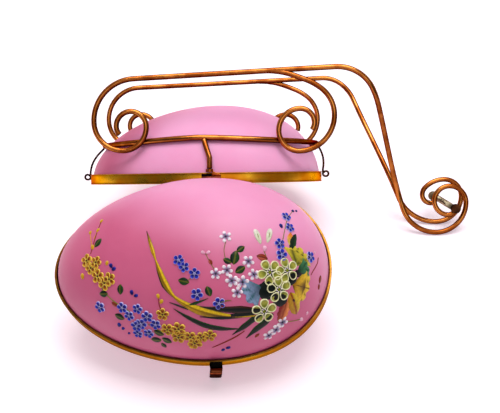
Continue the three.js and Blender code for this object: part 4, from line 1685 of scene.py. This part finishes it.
# Blades as their (x, around) anchors, widths from end to end, and paint or (edge, middle)
BLADES = [
    (
        [
            (-18.6, 87.0),
            (-16.8, 93.5),
            (-14.9, 100.0),
            (-13.2, 105.5),
            (-11.2, 112.0),
            (-8.4, 119.5),
            (-4.2, 126.0),
            (1.5, 130.6),
            (8.0, 134.0),
            (17.0, 137.0),
            (27.0, 139.0),
            (36.0, 140.0),
        ],
        [0.2, 1.8, 2.4, 0.8, 3.1, 4.3, 1.6, 3.4, 5.4, 4.0, 1.5, 0.5],
        long_blade_paint,
    ),
    ([(0.5, 131.5), (6.0, 129.8), (12.5, 127.0)], [0.2, 1.7, 0.2], (DARK_GREEN, LEAF_GREEN)),
    (
        [(8.0, 131.6), (18.0, 133.6), (28.0, 134.8), (38.0, 136.5)],
        [0.2, 3.0, 4.6, 1.8],
        (BROWN, BLACK_GREEN),
    ),
    (
        [(8.0, 137.8), (18.0, 138.6), (28.0, 138.2), (38.0, 137.6)],
        [0.2, 2.6, 3.4, 1.6],
        (BLACK_GREEN, BLACK_GREEN),
    ),
    (
        [(-4.6, 133.2), (2.0, 138.2), (10.0, 143.2), (18.0, 146.0), (26.5, 147.2)],
        [0.2, 2.1, 3.3, 2.9, 0.4],
        (LEAF_GREEN, BLACK_GREEN),
    ),
    (
        [(23.4, 151.0), (29.0, 146.4), (34.0, 142.0), (38.6, 139.0)],
        [0.2, 3.6, 3.6, 1.3],
        (LEAF_GREEN, BLACK_GREEN),
    ),
    (
        [(29.9, 155.5), (35.0, 150.0), (40.0, 145.6), (43.4, 141.0)],
        [0.2, 4.0, 4.4, 1.4],
        (LEAF_GREEN, BLACK_GREEN),
    ),
    (
        [(13.0, 160.5), (19.0, 156.8), (25.0, 153.0), (29.4, 149.4)],
        [0.2, 0.8, 0.8, 0.3],
        (RUST, RUST),
    ),
    ([(-6.5, 129.6), (-2.5, 131.2), (2.5, 133.4)], [0.2, 1.1, 0.6], (BLACK_GREEN, DARK_GREEN)),
    ([(16.0, 130.6), (20.0, 129.0), (23.5, 128.6)], [0.2, 1.0, 0.2], (RUST, OLIVE)),
]
strokes = [stem(*row) for row in THIN_STEMS]
for anchors, widths, tints in BLADES:
    paint = tints if callable(tints) else stroke_paint(*tints)
    strokes.append(ribbon(anchors, widths, 0.4, paint))
enamelled("painted_blades", strokes)

# Broad leaves: each about its own foot or middle, then where it stands on the lid
enamelled("shadow_leaf", [
    leaf(13, 11, BLACK_GREEN, BLACK_GREEN, BLACK_GREEN, 0.0, 5, 0.12),
    dab(
        spun(leaf_outline(12, 8, 0, 4, 0.15), -60, (6.5, -3.5)),
        [(0.6, 0.3)],
        plain(srgb(30, 14, 30)),
    ),
], [(41.0, 124.5, -10, 1.0), (53.0, 118.5, 60, 0.62), (47.6, 132.5, -50, 0.7)])
enamelled("pale_blue_leaf", [
    fan_leaf(0.6, 11.5, 100, 3, 0.12, BLACK_GREEN, PALE_BLUE, TEAL, 3),
], [(39.3, 121.5, 205, 1.0)])
enamelled("yellow_top_leaf", [
    fan_leaf(0.8, 11.5, 120, 4, 0.14, OLIVE, srgb(236, 208, 60), DARK_GREEN, 5),
], [(54.5, 109.5, 62, 1.0)])
enamelled("green_under_leaf", [
    fan_leaf(0.6, 9.5, 80, 3, 0.12, BLACK_GREEN, srgb(70, 140, 90), DARK_GREEN, 3),
], [(55.2, 114.0, 22, 1.0)])
enamelled("yellow_fan_leaf", [
    fan_leaf(0.8, 13.5, 108, 4, 0.13, srgb(176, 116, 14), srgb(255, 214, 60), BROWN, 6),
], [(52.6, 122.0, -18, 1.0)])
enamelled("spotted_leaf", [
    leaf(15.0, 8.6, srgb(220, 186, 40), srgb(186, 132, 24), RUST, 0.0, 3, 0.16),
    dab(spun(leaf_outline(3.2, 1.8), 20, (-2.2, 0.2)), [(0.6, 0.55)], plain(BROWN)),
], [(54.0, 138.5, -74, 1.0)])
enamelled("orange_leaf", [
    leaf(13.5, 7.6, srgb(240, 140, 70), srgb(140, 44, 40), RUST, 0.4, 4, 0.2),
], [(48.4, 141.5, -112, 1.0)])
enamelled("upper_leaf", [
    leaf(12.5, 4.6, DARK_GREEN, LEAF_GREEN, BLACK_GREEN, 0.8, 3, 0.1),
    dab(
        spun(leaf_outline(8, 4.0), 8, (1.2, 2.6)),
        [(0.6, 0.3), (0.85, 0.28)],
        lambda x, y, share: tinted(ORANGE, YELLOW_GREEN, 0.5 - x / 7),
    ),
], [(54.4, 91.0, 74, 1.0)])

# Small leaves, flowers and buds. Spots are (x, around), with degrees and size where they matter
DARK_LEAVES = [
    (-44.9, 88.7, 45, 1.0),
    (-40.9, 128.0, 8, 0.95),
    (-31.6, 123.5, 88, 0.95),
    (-33.0, 143.4, -15, 1.0),
    (-13.1, 150.6, -20, 1.0),
    (-14.9, 156.8, 5, 1.0),
    (-9.4, 156.0, -28, 1.0),
    (-11.4, 161.0, -60, 0.7),
    (0.7, 117.5, -12, 1.0),
    (12.7, 123.1, 110, 0.95),
    (21.8, 106.5, 155, 0.8),
    (25.4, 104.6, 80, 1.25),
    (28.2, 99.6, 38, 0.85),
    (28.0, 111.4, 30, 1.0),
]
enamelled("dark_leaves", [leaf(6.0, 3.9, DARK_GREEN, LEAF_GREEN, srgb(104, 104, 24))], DARK_LEAVES)
enamelled("rust_leaves", [leaf(4.2, 2.4, RUST, srgb(190, 90, 70), BROWN)], [
    (-35.1, 134.5, -25, 1.0),
    (38.6, 104.0, -12, 1.5),
    (35.4, 155.2, 40, 0.8),
    (67.7, 125.1, 70, 1.1),
    (67.0, 134.0, 85, 0.8),
    (19.0, 132.0, 0, 0.7),
    (13.7, 107.1, -60, 0.8),
])

GOLD_SPOTS = [
    (-50.6, 102.3),
    (-45.0, 104.6),
    (-48.0, 108.6),
    (-43.9, 115.2),
    (-40.0, 119.9),
    (-37.4, 117.0),
    (-10.3, 137.1),
    (-8.4, 147.0),
    (-2.8, 146.0),
    (-3.2, 152.1),
    (2.7, 151.6),
    (8.0, 151.8),
    (12.2, 150.4),
    (4.6, 156.4),
]
enamelled("gold_flowers", gold_flower(), spots_of(GOLD_SPOTS, 1.1))
enamelled("gold_buds", [bud(2.6, 1.9, OCHRE, PALE_GOLD)], [
    (-45.0, 67.4, -15, 1.0),
    (-46.0, 76.5, -40, 1.0),
    (-50.5, 75.6, 10, 1.0),
    (-47.8, 91.4, 20, 1.2),
    (-53.0, 115.8, 10, 1.3),
    (-12.1, 126.2, 20, 1.0),
    (-10.6, 129.3, -30, 1.0),
    (2.9, 160.2, 80, 1.1),
    (-38.9, 105.8, -10, 1.0),
])
BLUE_SPOTS = [
    (-30.9, 135.8),
    (-22.9, 135.1),
    (-27.5, 140.8),
    (-18.2, 139.6),
    (-21.6, 145.4),
    (-14.2, 144.4),
    (-24.0, 154.0),
    (-18.3, 152.0),
    (-43.3, 139.2),
    (-24.2, 147.8),
    (-1.8, 105.9),
    (0.9, 109.7),
    (6.0, 113.3),
    (7.0, 124.7),
    (17.6, 130.0),
    (50.6, 69.7),
    (52.3, 78.9),
    (47.1, 94.0),
    (48.0, 101.6),
    (62.5, 99.5),
]
enamelled("blue_flowers", blue_flower(), spots_of(BLUE_SPOTS, 1.06, 10.0))
enamelled("blue_buds", [bud(2.3, 1.7, DEEP_BLUE, BLUE)], [
    (-36.6, 107.8, 30, 1.2),
    (-35.1, 110.0, -60, 1.2),
    (-25.6, 124.9, 10, 1.2),
    (-23.5, 126.7, -70, 1.1),
    (-33.8, 150.6, -20, 1.3),
    (-31.9, 153.0, -40, 1.0),
    (-29.0, 156.0, -60, 0.7),
    (54.2, 57.7, -30, 1.0),
    (56.0, 54.0, -20, 0.8),
    (48.0, 79.8, 20, 1.2),
    (18.2, 163.4, -60, 1.0),
    (20.8, 161.8, -70, 1.2),
])
WHITE_SPOTS = [
    (20.9, 92.6),
    (16.2, 113.5),
    (21.6, 111.6),
    (23.9, 117.5),
    (29.0, 118.5),
    (31.9, 106.7),
    (34.4, 114.3),
    (26.4, 124.3),
    (48.0, 150.4),
    (44.7, 155.0),
    (41.0, 158.0),
]
enamelled("white_flowers", white_flower(), spots_of(WHITE_SPOTS, 1.1, 20.0))
enamelled("white_buds", [bud(2.4, 1.7, srgb(240, 170, 200), WHITE)], [
    (10.1, 101.8, 60, 1.0),
    (12.5, 101.8, -60, 1.0),
    (57.7, 158.3, 30, 1.3),
    (60.6, 155.8, -30, 0.9),
    (64.9, 93.0, -20, 0.8),
    (39.8, 98.5, 0, 1.4),
])
enamelled("long_white_buds", [
    bud(8.8, 3.2, srgb(224, 226, 196), WHITE),
    dab(spun(leaf_outline(5.4, 0.5), 90), [(0.6, 0.62)], plain(OLIVE)),
], [(36.5, 91.0, 22, 1.0), (42.0, 89.2, -12, 1.0)])
PRIMROSE_SPOTS = [
    (42.1, 113.2, -40, 1.0),
    (50.6, 112.2, -54, 0.98),
    (46.5, 124.8, -68, 1.02),
    (39.1, 137.8, -75, 1.0),
]
enamelled("primroses", primrose(), PRIMROSE_SPOTS)


# Floor, light and camera, in metres

FLOOR_HALF = 6.0
PAPER = (0.92, 0.86, 0.9, 1.0)
PAPER_GLOW = (1.0, 0.78, 0.88, 1.0)
PAPER_GLOW_LEVEL = 0.42

# How bright the room is for soft surfaces, and for shiny ones from its dark to its bright side
ROOM_EVEN = 0.45
ROOM_DARK = 0.06
ROOM_BRIGHT = 0.6
ROOM_DARK_SIDE = -0.75
ROOM_BRIGHT_SIDE = 0.6

# A glow that only shiny surfaces see, up behind the viewer
FRONT_BOX = (0.1, -0.82, 0.6)
FRONT_BOX_EDGE = 0.86
FRONT_BOX_CORE = 0.97
FRONT_BOX_GLOW = 1.3

LAMP_SPOT = (0.05, 0.12, 1.3)
LAMP_TARGET = (0.0, 0.0, 0.05)
LAMP_SIZE = (1.1, 0.8)
LAMP_POWER = 12.4

# The camera that was fitted to the photograph
PHOTO_WIDTH = 500
FOCAL_PIXELS = 769.3
SENSOR_WIDTH = 36.0
CAMERA_SPOT = (0.0025201, -0.3702702, 0.3225268)
CAMERA_RIGHT = (0.999211, 0.021459, -0.033421)
CAMERA_UP = (0.013378, 0.610474, 0.791923)


def white_for_viewer(tree, plain, tint, strength):
    """A plain shader that also glows for camera, mirror and glass rays."""
    path = tree.nodes.new("ShaderNodeLightPath")
    seen = tree.nodes.new("ShaderNodeMath")
    seen.operation = "MAXIMUM"
    through = tree.nodes.new("ShaderNodeMath")
    through.operation = "MAXIMUM"
    level = tree.nodes.new("ShaderNodeMath")
    level.operation = "MULTIPLY"
    level.inputs[1].default_value = strength
    glow = tree.nodes.new("ShaderNodeEmission")
    glow.inputs["Color"].default_value = tint
    both = tree.nodes.new("ShaderNodeAddShader")
    tree.links.new(path.outputs["Is Camera Ray"], seen.inputs[0])
    tree.links.new(path.outputs["Is Glossy Ray"], seen.inputs[1])
    tree.links.new(seen.outputs["Value"], through.inputs[0])
    tree.links.new(path.outputs["Is Transmission Ray"], through.inputs[1])
    tree.links.new(through.outputs["Value"], level.inputs[0])
    tree.links.new(level.outputs["Value"], glow.inputs["Strength"])
    tree.links.new(plain, both.inputs[0])
    tree.links.new(glow.outputs["Emission"], both.inputs[1])
    return both.outputs["Shader"]


def add_floor():
    corners = [(-1, -1), (1, -1), (1, 1), (-1, 1)]
    mesh = bpy.data.meshes.new("studio_floor")
    points = [(x * FLOOR_HALF, y * FLOOR_HALF, 0.0) for x, y in corners]
    mesh.from_pydata(points, [], [(0, 1, 2, 3)])
    material, tree, shader = new_material("white_paper")
    shader.inputs["Base Color"].default_value = PAPER
    shader.inputs["Roughness"].default_value = 0.9
    shader.inputs["Specular IOR Level"].default_value = 0.1
    output = tree.nodes["Material Output"]
    glowing = white_for_viewer(tree, shader.outputs["BSDF"], PAPER_GLOW, PAPER_GLOW_LEVEL)
    tree.links.new(glowing, output.inputs["Surface"])
    mesh.materials.append(material)
    floor = add_object("studio_floor", mesh)


def set_world():
    """An even room for soft surfaces, and for shiny ones a room darker towards the viewer."""
    world = bpy.data.worlds.new("studio")
    bpy.context.scene.world = world
    world.use_nodes = True
    tree = world.node_tree
    background = tree.nodes["Background"]
    place = tree.nodes.new("ShaderNodeTexCoord")
    split = tree.nodes.new("ShaderNodeSeparateXYZ")
    fall = tree.nodes.new("ShaderNodeMapRange")
    fall.interpolation_type = "SMOOTHSTEP"
    fall.inputs["From Min"].default_value = ROOM_DARK_SIDE
    fall.inputs["From Max"].default_value = ROOM_BRIGHT_SIDE
    fall.inputs["To Min"].default_value = ROOM_DARK
    fall.inputs["To Max"].default_value = ROOM_BRIGHT
    softbox = tree.nodes.new("ShaderNodeVectorMath")
    softbox.operation = "DOT_PRODUCT"
    softbox.inputs[1].default_value = Vector(FRONT_BOX).normalized()
    patch = tree.nodes.new("ShaderNodeMapRange")
    patch.interpolation_type = "SMOOTHSTEP"
    patch.inputs["From Min"].default_value = FRONT_BOX_EDGE
    patch.inputs["From Max"].default_value = FRONT_BOX_CORE
    patch.inputs["To Max"].default_value = FRONT_BOX_GLOW
    shine = tree.nodes.new("ShaderNodeMath")
    tree.links.new(place.outputs["Generated"], softbox.inputs[0])
    tree.links.new(softbox.outputs["Value"], patch.inputs["Value"])
    tree.links.new(fall.outputs["Result"], shine.inputs[0])
    tree.links.new(patch.outputs["Result"], shine.inputs[1])
    path = tree.nodes.new("ShaderNodeLightPath")
    glossy = tree.nodes.new("ShaderNodeMix")
    camera = tree.nodes.new("ShaderNodeMix")
    glossy.inputs["A"].default_value = ROOM_EVEN
    camera.inputs["B"].default_value = 1.0
    tree.links.new(place.outputs["Generated"], split.inputs["Vector"])
    tree.links.new(split.outputs["Y"], fall.inputs["Value"])
    tree.links.new(path.outputs["Is Glossy Ray"], glossy.inputs["Factor"])
    tree.links.new(shine.outputs["Value"], glossy.inputs["B"])
    tree.links.new(path.outputs["Is Camera Ray"], camera.inputs["Factor"])
    tree.links.new(glossy.outputs["Result"], camera.inputs["A"])
    tree.links.new(camera.outputs["Result"], background.inputs["Strength"])
    background.inputs["Color"].default_value = PURE_WHITE


def add_lamp(name, spot, target, size, power):
    data = bpy.data.lights.new(name, "AREA")
    data.shape = "RECTANGLE"
    data.size, data.size_y = size
    data.energy = power
    lamp = add_object(name, data)
    lamp.location = spot
    lamp.rotation_euler = (Vector(target) - Vector(spot)).to_track_quat("-Z", "Y").to_euler()


add_floor()
set_world()
add_lamp("overhead_softbox", LAMP_SPOT, LAMP_TARGET, LAMP_SIZE, LAMP_POWER)

camera_data = bpy.data.cameras.new("camera")
camera_data.sensor_width = SENSOR_WIDTH
camera_data.lens = FOCAL_PIXELS / PHOTO_WIDTH * SENSOR_WIDTH
camera = add_object("camera", camera_data)
right = Vector(CAMERA_RIGHT)
upward = Vector(CAMERA_UP)
turn = Matrix((right, upward, right.cross(upward))).transposed()
camera.matrix_world = Matrix.Translation(CAMERA_SPOT) @ turn.to_4x4()
bpy.context.scene.camera = camera
bpy.context.scene.view_settings.view_transform = "Standard"
